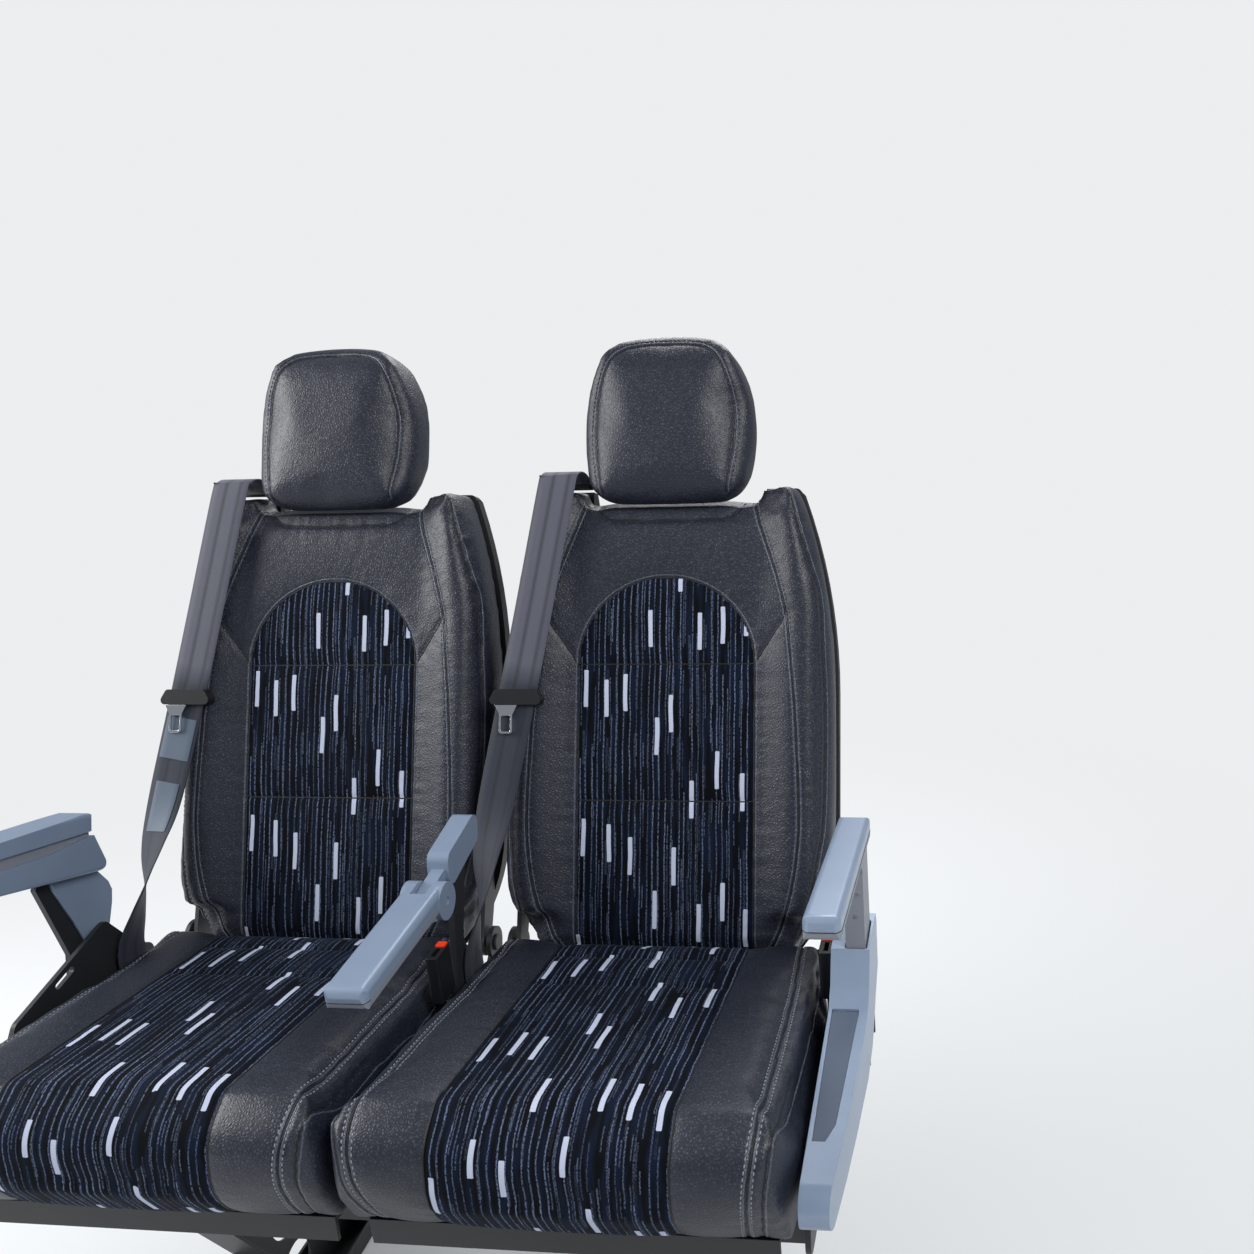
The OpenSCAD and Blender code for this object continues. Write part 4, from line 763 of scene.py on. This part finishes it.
# Route of a belt on its back, from the slot in the shoulder to the anchor: x, off, s in mm
# and the webbing's turn about s in degrees
BELT_ROUTE = [
    (-142, 40, 579, 0), (-142, 38, 589, 0), (-142, 22, 595, 0), (-142, 0, 594, 0),
    (-142.5, -15, 586, 0), (-144, -21, 570, 0), (-168, -24, 425, 0), (-190, -26, 298, 0),
    (-212, -33, 165, 4), (-218, -48, 100, 28), (-216, -60, 55, 55), (-218, -70, 15, 75),
    (-220, -77, -24, 90), (-220.5, -60, -65, 90), (-220.5, -44, -100, 90),
]
WEBBING_HALF, WEBBING_THICK = 25, 2
# The part of the route, by number, where the webbing lies on the cover; the cover stays this far
# behind the middle of the webbing, in mm, and slopes back to its own place beside it
LYING = (4, 9)
BELT_CLEAR, BELT_SLOPE = 3, 0.5
# It lies on the cover this far below that part of the route and above it, in mm
BELT_PAST = (20, 5)

# The moquette insert of a back in mm: half width, foot and top of its arch, the heights of the
# seams across it, and the depth past which no moquette goes
INSERT_HALF = 116
ARCH_LOW, ARCH_TOP = 341, 453
INSERT_SEAMS = (165, 341)
INSERT_DEPTH = 45
# Seams of a back, in mm: half width at each height of the double seam, the outer seam, the yoke
# under the headrest, the sewn top edge and the short slanted seam
INNER_SEAM = [(107, 577), (121, 526), (147, 448), (159, 396), (168, 319), (172, 268), (177, 160),
              (175, 104), (166, 50), (150, 0), (135, -28)]
OUTER_SEAM = [(163, 559), (167, 548), (190, 473), (203, 421), (207, 345), (209, 268), (208, 150),
              (203, 104), (193, 50), (178, 0), (165, -28)]
YOKE = [(101, 572), (97, 552), (88, 538), (72, 531.5), (40, 530), (0, 530)]
TOP_SEAM = [(103, 567), (130, 568), (150, 565)]
SLANT = [(INSERT_HALF, ARCH_LOW), (136, 371), (156, 401)]
# Rows of stitches and folds stand this far from a seam
STITCH_GAP = 4.6
FOLD_GAP = 2.2


def mirrored(line):
    """A half line on a flat plan and its mirror image"""
    line = np.asarray(line, float)
    return [line, line * (-1, 1)]


def back_seams():
    """Seams and rows of stitches of a back on its flat plan, in mm"""
    arch = [(INSERT_HALF * math.cos(a), ARCH_LOW + (ARCH_TOP - ARCH_LOW) * math.sin(a))
            for a in np.linspace(0, math.pi, 25)]
    border = [(INSERT_HALF, -20), (INSERT_HALF, 100), (INSERT_HALF, 250)] + arch
    border += [(-INSERT_HALF, 250), (-INSERT_HALF, 100), (-INSERT_HALF, -20)]
    seams = {"border": [curve_through(border, 1)], "inner": [], "outer": [], "fine": [], "rows": [],
             "dark_rows": [], "folds": [beside(curve_through(border, 1), -FOLD_GAP)]}
    for half in mirrored(INNER_SEAM):
        line = curve_through(half, 1)
        seams["inner"].append(line)
        seams["rows"] += [beside(line, STITCH_GAP), beside(line, -STITCH_GAP)]
        seams["folds"] += [beside(line, FOLD_GAP), beside(line, -FOLD_GAP)]
    for half in mirrored(OUTER_SEAM):
        line = curve_through(half, 1)
        seams["outer"].append(line)
        inward = 1 if half[0][0] < 0 else -1
        seams["dark_rows"].append(beside(line, inward * STITCH_GAP))
        seams["folds"].append(beside(line, -inward * FOLD_GAP))
    for half in mirrored(YOKE) + mirrored(SLANT) + mirrored(TOP_SEAM):
        seams["fine"].append(curve_through(half, 1))
    for s in INSERT_SEAMS:
        seams["fine"].append(curve_through([(-INSERT_HALF, s), (0, s - 0.5), (INSERT_HALF, s)], 1))
    return seams


def make_back(side):
    """Cover of a back: moquette insert, leatherette round it, seams and stitches"""
    node = f"back_pad_{side}"
    obj = cover(node, f"back_cover_{side}", lambda p: to_back(side, p)[:, 1] > BACK_HELD * MM,
                **COVERS["back"])
    # The webbing lies on the cover and presses it back a little
    local = to_back(side, points_of(obj)) / MM
    route = curve_through(BELT_ROUTE[slice(*LYING)], 2)[::-1]
    x, off, s = local.T
    beyond = np.maximum(0, np.abs(x - np.interp(s, route[:, 2], route[:, 0])) - WEBBING_HALF)
    limit = np.interp(s, route[:, 2], route[:, 1]) + BELT_CLEAR - BELT_SLOPE * beyond
    under = (s > route[0, 2] - BELT_PAST[0]) & (s < route[-1, 2] + BELT_PAST[1]) & (off < limit)
    local[under, 1] = limit[under]
    set_points(obj, from_back(side, local * MM))
    tree = BVHTree.FromObject(obj, bpy.context.evaluated_depsgraph_get())
    on_cover = {kind: [laid_on_back(side, tree, line) for line in lines]
                for kind, lines in back_seams().items()}
    pressed(obj, on_cover["inner"] + on_cover["outer"], "deep")
    pressed(obj, on_cover["border"] + on_cover["fine"], "insert")
    local = to_back(side, points_of(obj)) / MM
    x, off, s = local.T
    sides = np.abs(x) - INSERT_HALF
    arch = (np.hypot(x / INSERT_HALF, (s - ARCH_LOW) / (ARCH_TOP - ARCH_LOW)) - 1) * INSERT_HALF
    value = np.maximum(np.where(s > ARCH_LOW, arch, sides), off - INSERT_DEPTH) * MM
    parted(obj, value, MOQUETTE, LEATHERETTE)
    local = to_back(side, points_of(obj))
    with_lay(obj, local[:, 0], local[:, 2])
    sew(obj, f"back_{side}", f"back_{side}", on_cover["rows"],
        on_cover["border"] + on_cover["inner"] + on_cover["outer"] + on_cover["fine"],
        on_cover["folds"], GREY_THREAD)
    sew(obj, f"back_{side}", f"back_edge_{side}", on_cover["dark_rows"], [], thread=DARK_THREAD)
    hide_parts(node)
    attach(obj, f"back_{side}")


# Outline of a cushion seen from its side, from its rear top corner over the nose and back
# underneath: y, z and radius of its corners in mm
CUSHION_CORNERS = [(171.2, 424, 10), (-227, 441, 48), (-217, 360, 15), (149.2, 349, 4)]
CUSHION_INSERT = 119
# Where the outline starts, as its normal's angle in degrees; points on each corner's arc; step
# of its even points and how far outside it rays at the cover start, in mm; points looked up at once
PATH_START, ARC_POINTS, PATH_STEP, PATH_RAY, PATH_BATCH = 20, 24, 1.5, 60, 4000


def cushion_path():
    """Points, outward normals and length along that outline, in metres"""
    spots, ups = [], []
    turn = math.radians(PATH_START)
    for i, (y, z, r) in enumerate(CUSHION_CORNERS):
        if i + 1 < len(CUSHION_CORNERS):
            y1, z1, r1 = CUSHION_CORNERS[i + 1]
            reach = math.hypot(y1 - y, z1 - z)
            after = math.atan2(z1 - z, y1 - y) - math.acos((r - r1) / reach)
            while after < turn:
                after += 2 * math.pi
        else:
            after = turn
        for angle in np.linspace(turn, after, ARC_POINTS):
            up = np.array((math.cos(angle), math.sin(angle)))
            spots.append(np.array((y, z)) + r * up)
            ups.append(up)
        turn = after
    spots, ups = np.array(spots) * MM, np.array(ups)
    steps = np.linalg.norm(np.diff(spots, axis=0), axis=1)
    length = np.concatenate([[0], np.cumsum(steps)])
    even = np.arange(0, length[-1], PATH_STEP * MM)
    spots = np.stack([np.interp(even, length, spots[:, k]) for k in (0, 1)], axis=1)
    ups = np.stack([np.interp(even, length, ups[:, k]) for k in (0, 1)], axis=1)
    return spots, ups, even


PATH = cushion_path()


def along_cushion(points):
    """Length along the outline at the place nearest to each point"""
    spots, ups, length = PATH
    out = np.empty(len(points))
    for start in range(0, len(points), PATH_BATCH):
        part = points[start:start + PATH_BATCH, None, 1:] - spots[None]
        out[start:start + PATH_BATCH] = length[np.argmin((part ** 2).sum(axis=2), axis=1)]
    return out


# Seams of a cushion in mm: half width at each length along its outline
CUSHION_SEAM = [(184, 12), (189, 100), (194, 220), (198, 380), (196, 440), (191, 500), (185, 560),
                (181, 600)]
CUSHION_EDGE = [(204, 12), (209, 100), (213, 220), (216, 380), (213, 440), (207, 500), (200, 560),
                (195, 600)]
CUSHION_TUCKS = (75, 150)
# Faces this low over a cushion's base are leatherette, in mm
CUSHION_HEM = 2


def make_cushion(side):
    """Cover of a cushion: moquette insert over the nose, leatherette at its sides"""
    node = f"seat_cushion_{side}"
    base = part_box(node)[0].z
    obj = cover(node, f"cushion_cover_{side}", lambda p: p[:, 2] < base + CUSHION_HELD * MM,
                **COVERS["cushion"])
    tree = BVHTree.FromObject(obj, bpy.context.evaluated_depsgraph_get())
    spots, ups, length = PATH

    def on_cover(line):
        starts, directions = [], []
        for x, t in line * MM:
            k = min(int(np.searchsorted(length, t)), len(length) - 1)
            origin = spots[k] + ups[k] * PATH_RAY * MM
            starts.append((middle(side) + x, origin[0], origin[1]))
            directions.append((0, -ups[k][0], -ups[k][1]))
        return laid(tree, starts, directions)

    deep, rows, folds = [], [], []
    for half in mirrored(CUSHION_SEAM):
        line = curve_through(half, 1)
        deep.append(on_cover(line))
        rows += [on_cover(beside(line, STITCH_GAP)), on_cover(beside(line, -STITCH_GAP))]
        folds += [on_cover(beside(line, FOLD_GAP)), on_cover(beside(line, -FOLD_GAP))]
    for half in mirrored(CUSHION_EDGE):
        line = curve_through(half, 1)
        deep.append(on_cover(line))
        folds.append(on_cover(beside(line, -FOLD_GAP if half[0][0] > 0 else FOLD_GAP)))
    border = [on_cover(curve_through(half, 1))
              for half in mirrored([(CUSHION_INSERT, t) for t in range(5, 640, 60)])]
    tucks = [on_cover(curve_through([(-CUSHION_INSERT, t), (0, t), (CUSHION_INSERT, t)], 1))
             for t in CUSHION_TUCKS]
    pressed(obj, deep, "deep")
    pressed(obj, border + tucks, "tuck")
    points = points_of(obj)
    value = np.abs(points[:, 0] - middle(side)) - CUSHION_INSERT * MM
    value = np.where(points[:, 2] < base + CUSHION_HEM * MM, 1.0, value)
    parted(obj, value, MOQUETTE, LEATHERETTE)
    points = points_of(obj)
    with_lay(obj, points[:, 0] - middle(side), along_cushion(points))
    sew(obj, "frame", f"cushion_{side}", rows, deep + border, folds)
    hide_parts(node)
    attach(obj, "frame")


# Seam round the front panel of a headrest: half width at each height, in mm
HEADREST_SEAM = [(82, 560), (86, 585), (92, 625), (92, 665), (84, 705), (70, 737), (52, 752),
                 (26, 757), (0, 758)]
# The headrest's lower end goes down by this much, less and less up to a height, in mm
SINK, SINK_TOP, SINK_REACH = 9, 625, 65


def make_headrest(side):
    """Cover of a headrest in leatherette, with its front panel's seam"""
    node = f"headrest_{side}"
    obj = cover(node, f"headrest_cover_{side}", lambda p: to_back(side, p)[:, 1] > HEADREST_HELD * MM,
                **COVERS["headrest"])
    # The pillow sinks into the notch of the back
    local = to_back(side, points_of(obj)) / MM
    share = np.clip((SINK_TOP - local[:, 2]) / SINK_REACH, 0, 1)
    local[:, 2] -= SINK * share * share * (3 - 2 * share)
    set_points(obj, from_back(side, local * MM))
    tree = BVHTree.FromObject(obj, bpy.context.evaluated_depsgraph_get())
    half = np.asarray(HEADREST_SEAM, float)
    whole = curve_through(np.vstack([half, half[-2::-1] * (-1, 1)]), 1)
    seam = laid_on_back(side, tree, whole)
    pressed(obj, [seam], "headrest")
    obj.data.materials.clear()
    obj.data.materials.append(LEATHERETTE)
    row, fold = (laid_on_back(side, tree, beside(whole, -gap)) for gap in (STITCH_GAP + 1, FOLD_GAP))
    sew(obj, f"back_{side}", f"headrest_{side}", [row], [seam], [fold], DARK_THREAD)
    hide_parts(node)
    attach(obj, f"back_{side}")


def ribbon(route, half, thick, lift=0.0):
    """Points of a flat strap along its route, in mm: rings of twelve, its selvedges rounded"""
    spine, turn = route[:, :3], np.radians(route[:, 3])
    ahead = np.gradient(spine, axis=0)
    ahead /= np.linalg.norm(ahead, axis=1, keepdims=True)
    flat = np.stack([np.cos(turn), -np.sin(turn), 0 * turn], axis=1)
    across = flat - (flat * ahead).sum(axis=1, keepdims=True) * ahead
    across /= np.linalg.norm(across, axis=1, keepdims=True)
    up = np.cross(ahead, across)
    face = [-half + 0.8, -0.6 * half, -0.2 * half, 0.2 * half, 0.6 * half, half - 0.8]
    section = [(a, -thick) for a in face] + [(half, -0.4 * thick), (half, 0.4 * thick)]
    section += [(a, thick) for a in reversed(face)] + [(-half, 0.4 * thick), (-half, -0.4 * thick)]
    points = [spine[i] + a * across[i] + (lift + u) * up[i]
              for i in range(len(spine)) for a, u in section]
    return points, [a for a, u in section]


# Blank labels sewn on the window seat's webbing: length along it where each starts and ends,
# half width and thickness in mm
LABELS = [(392, 452, 21, 0.5), (476, 546, 17, 0.5)]
# Edges of the webbing over this angle are drawn sharp
SELVEDGE_ANGLE = 50


def make_belt(side):
    """The webbing: a flat woven strap with rounded selvedges along its route"""
    route = curve_through(BELT_ROUTE, 4)
    length = np.concatenate([[0], np.cumsum(np.linalg.norm(np.diff(route[:, :3], axis=0), axis=1))])
    straps = [(0, length[-1] + 1, WEBBING_HALF, WEBBING_THICK / 2, 0.0)]
    if side == "window":
        straps += [(a, b, half, thick, WEBBING_THICK / 2 + thick) for a, b, half, thick in LABELS]
    points, faces, finish, across, along = [], [], [], [], []
    for number, (start, end, half, thick, lift) in enumerate(straps):
        part = (length >= start) & (length <= end)
        more, section = ribbon(route[part], half, thick, lift)
        count, first, rings = len(section), len(points), int(part.sum())
        points += more
        across += section * rings
        along += list(np.repeat(length[part], count))
        new = [(i * count + k, i * count + (k + 1) % count, (i + 1) * count + (k + 1) % count,
                (i + 1) * count + k) for i in range(rings - 1) for k in range(count)]
        new += [tuple(range(count - 1, -1, -1)), tuple(range((rings - 1) * count, rings * count))]
        faces += [tuple(first + v for v in face) for face in new]
        finish += [min(number, 1)] * len(new)
    mesh = bpy.data.meshes.new(f"belt_webbing_{side}")
    mesh.from_pydata(from_back(side, np.array(points) * MM).tolist(), [], faces)
    mesh.materials.append(WEBBING)
    mesh.materials.append(LABEL)
    mesh.polygons.foreach_set("material_index", finish)
    obj = made(f"belt_webbing_{side}", mesh)
    with_lay(obj, np.array(across) * MM, np.array(along) * MM)
    with sheet_of(mesh) as sheet:
        bmesh.ops.recalc_face_normals(sheet, faces=sheet.faces)
    smooth_shaded(obj, SELVEDGE_ANGLE)
    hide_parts(f"belt_{side}")
    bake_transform(obj)


# Hard pieces

# Radius in mm of the moulded or deburred edges of each kind of piece
EDGES = {
    "aisle_arm_pad": 2.5, "window_arm_pad": 2.5, "window_arm_body": 2.5, "centre_arm": 2.0,
    "centre_stalk": 2.0, "aisle_arm_post": 1.5, "end_shell": 2.0, "end_shell_inset": 0.8,
    "window_arm_bracket": 2.0, "back_shell_window": 2.5, "back_shell_aisle": 2.5,
}
EDGE_ELSEWHERE = 0.6
# Faces that meet at less than the first angle are one, and edges over the second are rounded
FLAT_ANGLE, SHARP_ANGLE = 1, 32
# A face whose normal has this much of x is one of a side
SIDEWAYS = 0.9
SOFT = ("belt_window", "belt_aisle", "seat_cushion_", "back_pad_", "headrest_")

# Armrest pads are moulded in two halves: a point of the top face, the lean of its normal to
# the rear in degrees, how deep the joint lies under it, and the rear end of the joint, in mm
HALVES = {"aisle_arm_pad": ((0, 87, 650), 7.8, 15, 100), "centre_arm": ((0, 43, 583), -2.6, 16, 12)}
# The wedge in the window armrest's body stands in by this much
WEDGE_IN = 4.5 * MM


def halved(sheet, node):
    """Cuts a pad along the joint of its halves; the lower half's faces get the second finish"""
    (x, y, z), lean, depth, rear = HALVES[node]
    up = Vector((0, math.sin(math.radians(lean)), math.cos(math.radians(lean))))
    joint = Vector((x, y, z)) * MM - up * depth * MM
    whole = sheet.verts[:] + sheet.edges[:] + sheet.faces[:]
    cut = bmesh.ops.bisect_plane(sheet, geom=whole, plane_co=joint, plane_no=up)["geom_cut"]
    for face in sheet.faces:
        centre = face.calc_center_median()
        if (centre - joint).dot(up) < 0 and centre.y < rear * MM:
            face.material_index = 1
    edges = [e for e in cut
             if isinstance(e, bmesh.types.BMEdge) and max(v.co.y for v in e.verts) < rear * MM]
    spots = {v: i for i, v in enumerate({v for e in edges for v in e.verts})}
    ends = [tuple(spots[v] for v in e.verts) for e in edges]
    mesh = bpy.data.meshes.new(f"joint_{node}")
    mesh.from_pydata([tuple(v.co) for v in spots], ends, [])
    return made(f"joint_{node}", mesh)


def make_hard(node):
    """A CAD node's own shape with its edges rounded as moulding or deburring leaves them"""
    obj = copy_of(node, f"{node}_finished")
    with sheet_of(obj.data) as sheet:
        bmesh.ops.dissolve_limit(sheet, angle_limit=math.radians(FLAT_ANGLE), verts=sheet.verts,
                                 edges=sheet.edges)
        for face in sheet.faces:
            face.material_index = 0
        if node in HALVES:
            joint = halved(sheet, node)
        if node == "window_arm_body":
            low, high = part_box(node)
            for face in sheet.faces:
                far = abs(face.calc_center_median().x - (low.x + high.x) / 2)
                if abs(face.normal.x) > SIDEWAYS and far < (high.x - low.x) / 2 - WEDGE_IN / 2:
                    face.material_index = 1
    edge = obj.modifiers.new("soft edge", "BEVEL")
    edge.width = EDGES.get(node, EDGE_ELSEWHERE) * MM
    edge.segments = 3
    edge.limit_method = "ANGLE"
    edge.angle_limit = math.radians(SHARP_ANGLE)
    edge.use_clamp_overlap = True
    shade = obj.modifiers.new("shading", "WEIGHTED_NORMAL")
    shade.keep_sharp = False
    obj.data.shade_smooth()
    baked(obj)
    index = np.empty(len(obj.data.polygons), int)
    obj.data.polygons.foreach_get("material_index", index)
    obj.data.materials.clear()
    obj.data.materials.append(OWN_FINISH.get(node, FINISH[SLOT[node]]))
    obj.data.materials.append(GREY_ABS)
    obj.data.polygons.foreach_set("material_index", index)
    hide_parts(node)
    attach(obj, BODY[node])
    if node in HALVES:
        tree = BVHTree.FromObject(obj, bpy.context.evaluated_depsgraph_get())
        set_points(joint, [tree.find_nearest(Vector(spot))[0] for spot in points_of(joint)])
        grown(joint, SEAM_CORD, Pitch=CORD_STEP * MM, Radius=JOINT_LINE * MM, Material=SEAM)
        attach(joint, BODY[node])


# Screws and bolts: body, slot and finish; sides and radius of the head, its height, radius of
# the washer, radius and depth of the recess; places and the way they face, all in mm
M10_HEAD = (6, 9.2, 6.4, 10.5, 5.0, 0.5)
SMALL_HEAD = (16, 2.7, 1.3, 3.1, 1.3, 0.8)
PAD_LOW, PAD_HIGH = (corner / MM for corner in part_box("aisle_arm_pad"))
FASTENERS = {
    "floor_bolts": ("frame", "pressed_steel", ZINC, M10_HEAD, [
        ((x, y, 4), (0, 0, 1)) for x in (-230, 230) for y in (-150, 150)]),
    "beam_bolts": ("frame", "pressed_steel", ZINC, M10_HEAD, [
        ((x, y, 316.7), (x, 0, 0)) for x in (-464, 464) for y in (-150, 130)]),
    "post_screws": ("aisle_armrest", "latch_steel", ZINC, SMALL_HEAD, [
        # Sunk in the post's face, which slides in its channel
        ((500, 48.1, 606), (0, -1, 0)), ((496, 48.1, 572), (0, -1, 0)),
        ((493, 48.1, 544.5), (0, -1, 0)),
        ((PAD_HIGH.x - 0.8, PAD_LOW.y + 14, PAD_HIGH.z - 19), (1, 0, 0))]),
}


def make_fasteners(name):
    """The heads of one kind of screw or bolt, as one mesh"""
    body, slot, finish, (sides, radius, height, washer, drive, depth), places = FASTENERS[name]
    spots = np.array([place for place, way in places], float) * MM
    ways = np.array([Vector(way).normalized() for place, way in places])
    obj = lines_object(name, [(spots, ways)])
    grown(obj, FASTENER, Sides=float(sides), Radius=radius * MM, Height=height * MM,
          Washer=washer * MM, Drive=drive * MM, Depth=depth * MM, Material=finish)
    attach(obj, body)


for name in FASTENERS:
    make_fasteners(name)
for side in SIDES:
    make_cushion(side)
    make_back(side)
    make_headrest(side)
    make_belt(side)
for node in BODY:
    if not node.startswith(SOFT):
        make_hard(node)


# CAD nodes that stay as they are get their finish

for node, obj in frame["nodes"].items():
    for place in obj.material_slots:
        place.material = FINISH[SLOT[node]]


# Camera

camera = made("camera", bpy.data.cameras.new("camera"))
# Place in metres, turns in radians, lens and film in mm, and shifts, as worked out from the seats
EYE = (0.6445, -1.1865, 1.2706)
YAW, PITCH, ROLL = 0.1271, 0.2953, 0.045
LENS, FILM, SHIFT_X, SHIFT_Y = 35.97, 36, -0.1668, -0.0059
ahead = Vector((-math.sin(YAW) * math.cos(PITCH), math.cos(YAW) * math.cos(PITCH), -math.sin(PITCH)))
across = Vector((math.cos(YAW), math.sin(YAW), 0))
down = ahead.cross(across)
turned_across = across * math.cos(ROLL) + down * math.sin(ROLL)
turned_down = down * math.cos(ROLL) - across * math.sin(ROLL)
camera.matrix_world = Matrix.Translation(EYE) @ Matrix(
    (turned_across, -turned_down, -ahead)).transposed().to_4x4()
camera.data.sensor_width = FILM
camera.data.lens = LENS
camera.data.shift_x = SHIFT_X
camera.data.shift_y = SHIFT_Y
scene.camera = camera

# Floor and light

PALE = colour("#eceeef")
# The floor fades into the backdrop between these distances from the origin, in metres
FADE_FROM, FADE_TO = 0.5, 2.2


def studio_floor():
    """A pale matt floor that fades into the backdrop's colour away from the seats"""
    mat, tree, shader = finish_of("studio_floor", {
        "Base Color": colour("#e2e4e5"), "Roughness": 0.85})
    at = add(tree, "TexCoord").outputs["Object"]
    fine = add(tree, "TexNoise", {"Vector": at, "Scale": 1 / (6 * MM), "Detail": 2.0})
    bump = add(tree, "Bump", {"Strength": 0.3, "Distance": 0.1 * MM, "Height": fine})
    join(tree, shader, Normal=bump)
    far = add(tree, "VectorMath.LENGTH", [at]).outputs["Value"]
    fade = add(tree, "MapRange", {"Value": far, "From Min": FADE_FROM, "From Max": FADE_TO},
               interpolation_type="SMOOTHSTEP")
    rays = add(tree, "LightPath")
    seen = add(tree, "Math.MULTIPLY", [fade, rays.outputs["Is Camera Ray"]])
    glow = add(tree, "Emission", {"Color": PALE, "Strength": 1.0})
    mix = add(tree, "MixShader", [seen, shader, glow])
    tree.links.new(mix.outputs[0], tree.nodes["Material Output"].inputs["Surface"])
    return mat


floor_mesh = bpy.data.meshes.new("studio_floor")
floor_mesh.from_pydata([(-20, -20, 0), (20, -20, 0), (20, 20, 0), (-20, 20, 0)], [], [(0, 1, 2, 3)])
floor = made("studio_floor", floor_mesh)
floor.data.materials.append(studio_floor())

world = bpy.data.worlds.new("studio")
scene.world = world
world.use_nodes = True
sky = world.node_tree
rays = add(sky, "LightPath")
sky.nodes["Background"].inputs["Color"].default_value = colour("#dfe4ea")
sky.nodes["Background"].inputs["Strength"].default_value = 0.4
backdrop = add(sky, "Background", {"Color": PALE, "Strength": 1.0})
shown = add(sky, "MixShader", [rays.outputs["Is Camera Ray"], sky.nodes["Background"], backdrop])
sky.links.new(shown.outputs[0], sky.nodes["World Output"].inputs["Surface"])

# Soft boxes: place and aim in metres, side in metres, power in watts
LIGHTS = {
    "window_side": ((-2.5, -0.3, 1.9), (0, 0.1, 0.7), 1.8, 85),
    "aisle_top": ((1.9, -1.1, 2.6), (0, 0.1, 0.6), 1.2, 52),
    "rear_top": ((0.2, 2.2, 2.5), (0, 0.1, 0.9), 1.6, 45),
}
for name, (place, aim, size, power) in LIGHTS.items():
    light = bpy.data.lights.new(name, "AREA")
    light.energy = power
    light.size = size
    obj = made(name, light)
    obj.location = place
    obj.rotation_euler = (Vector(aim) - Vector(place)).to_track_quat("-Z", "Y").to_euler()

scene.view_settings.view_transform = "Standard"
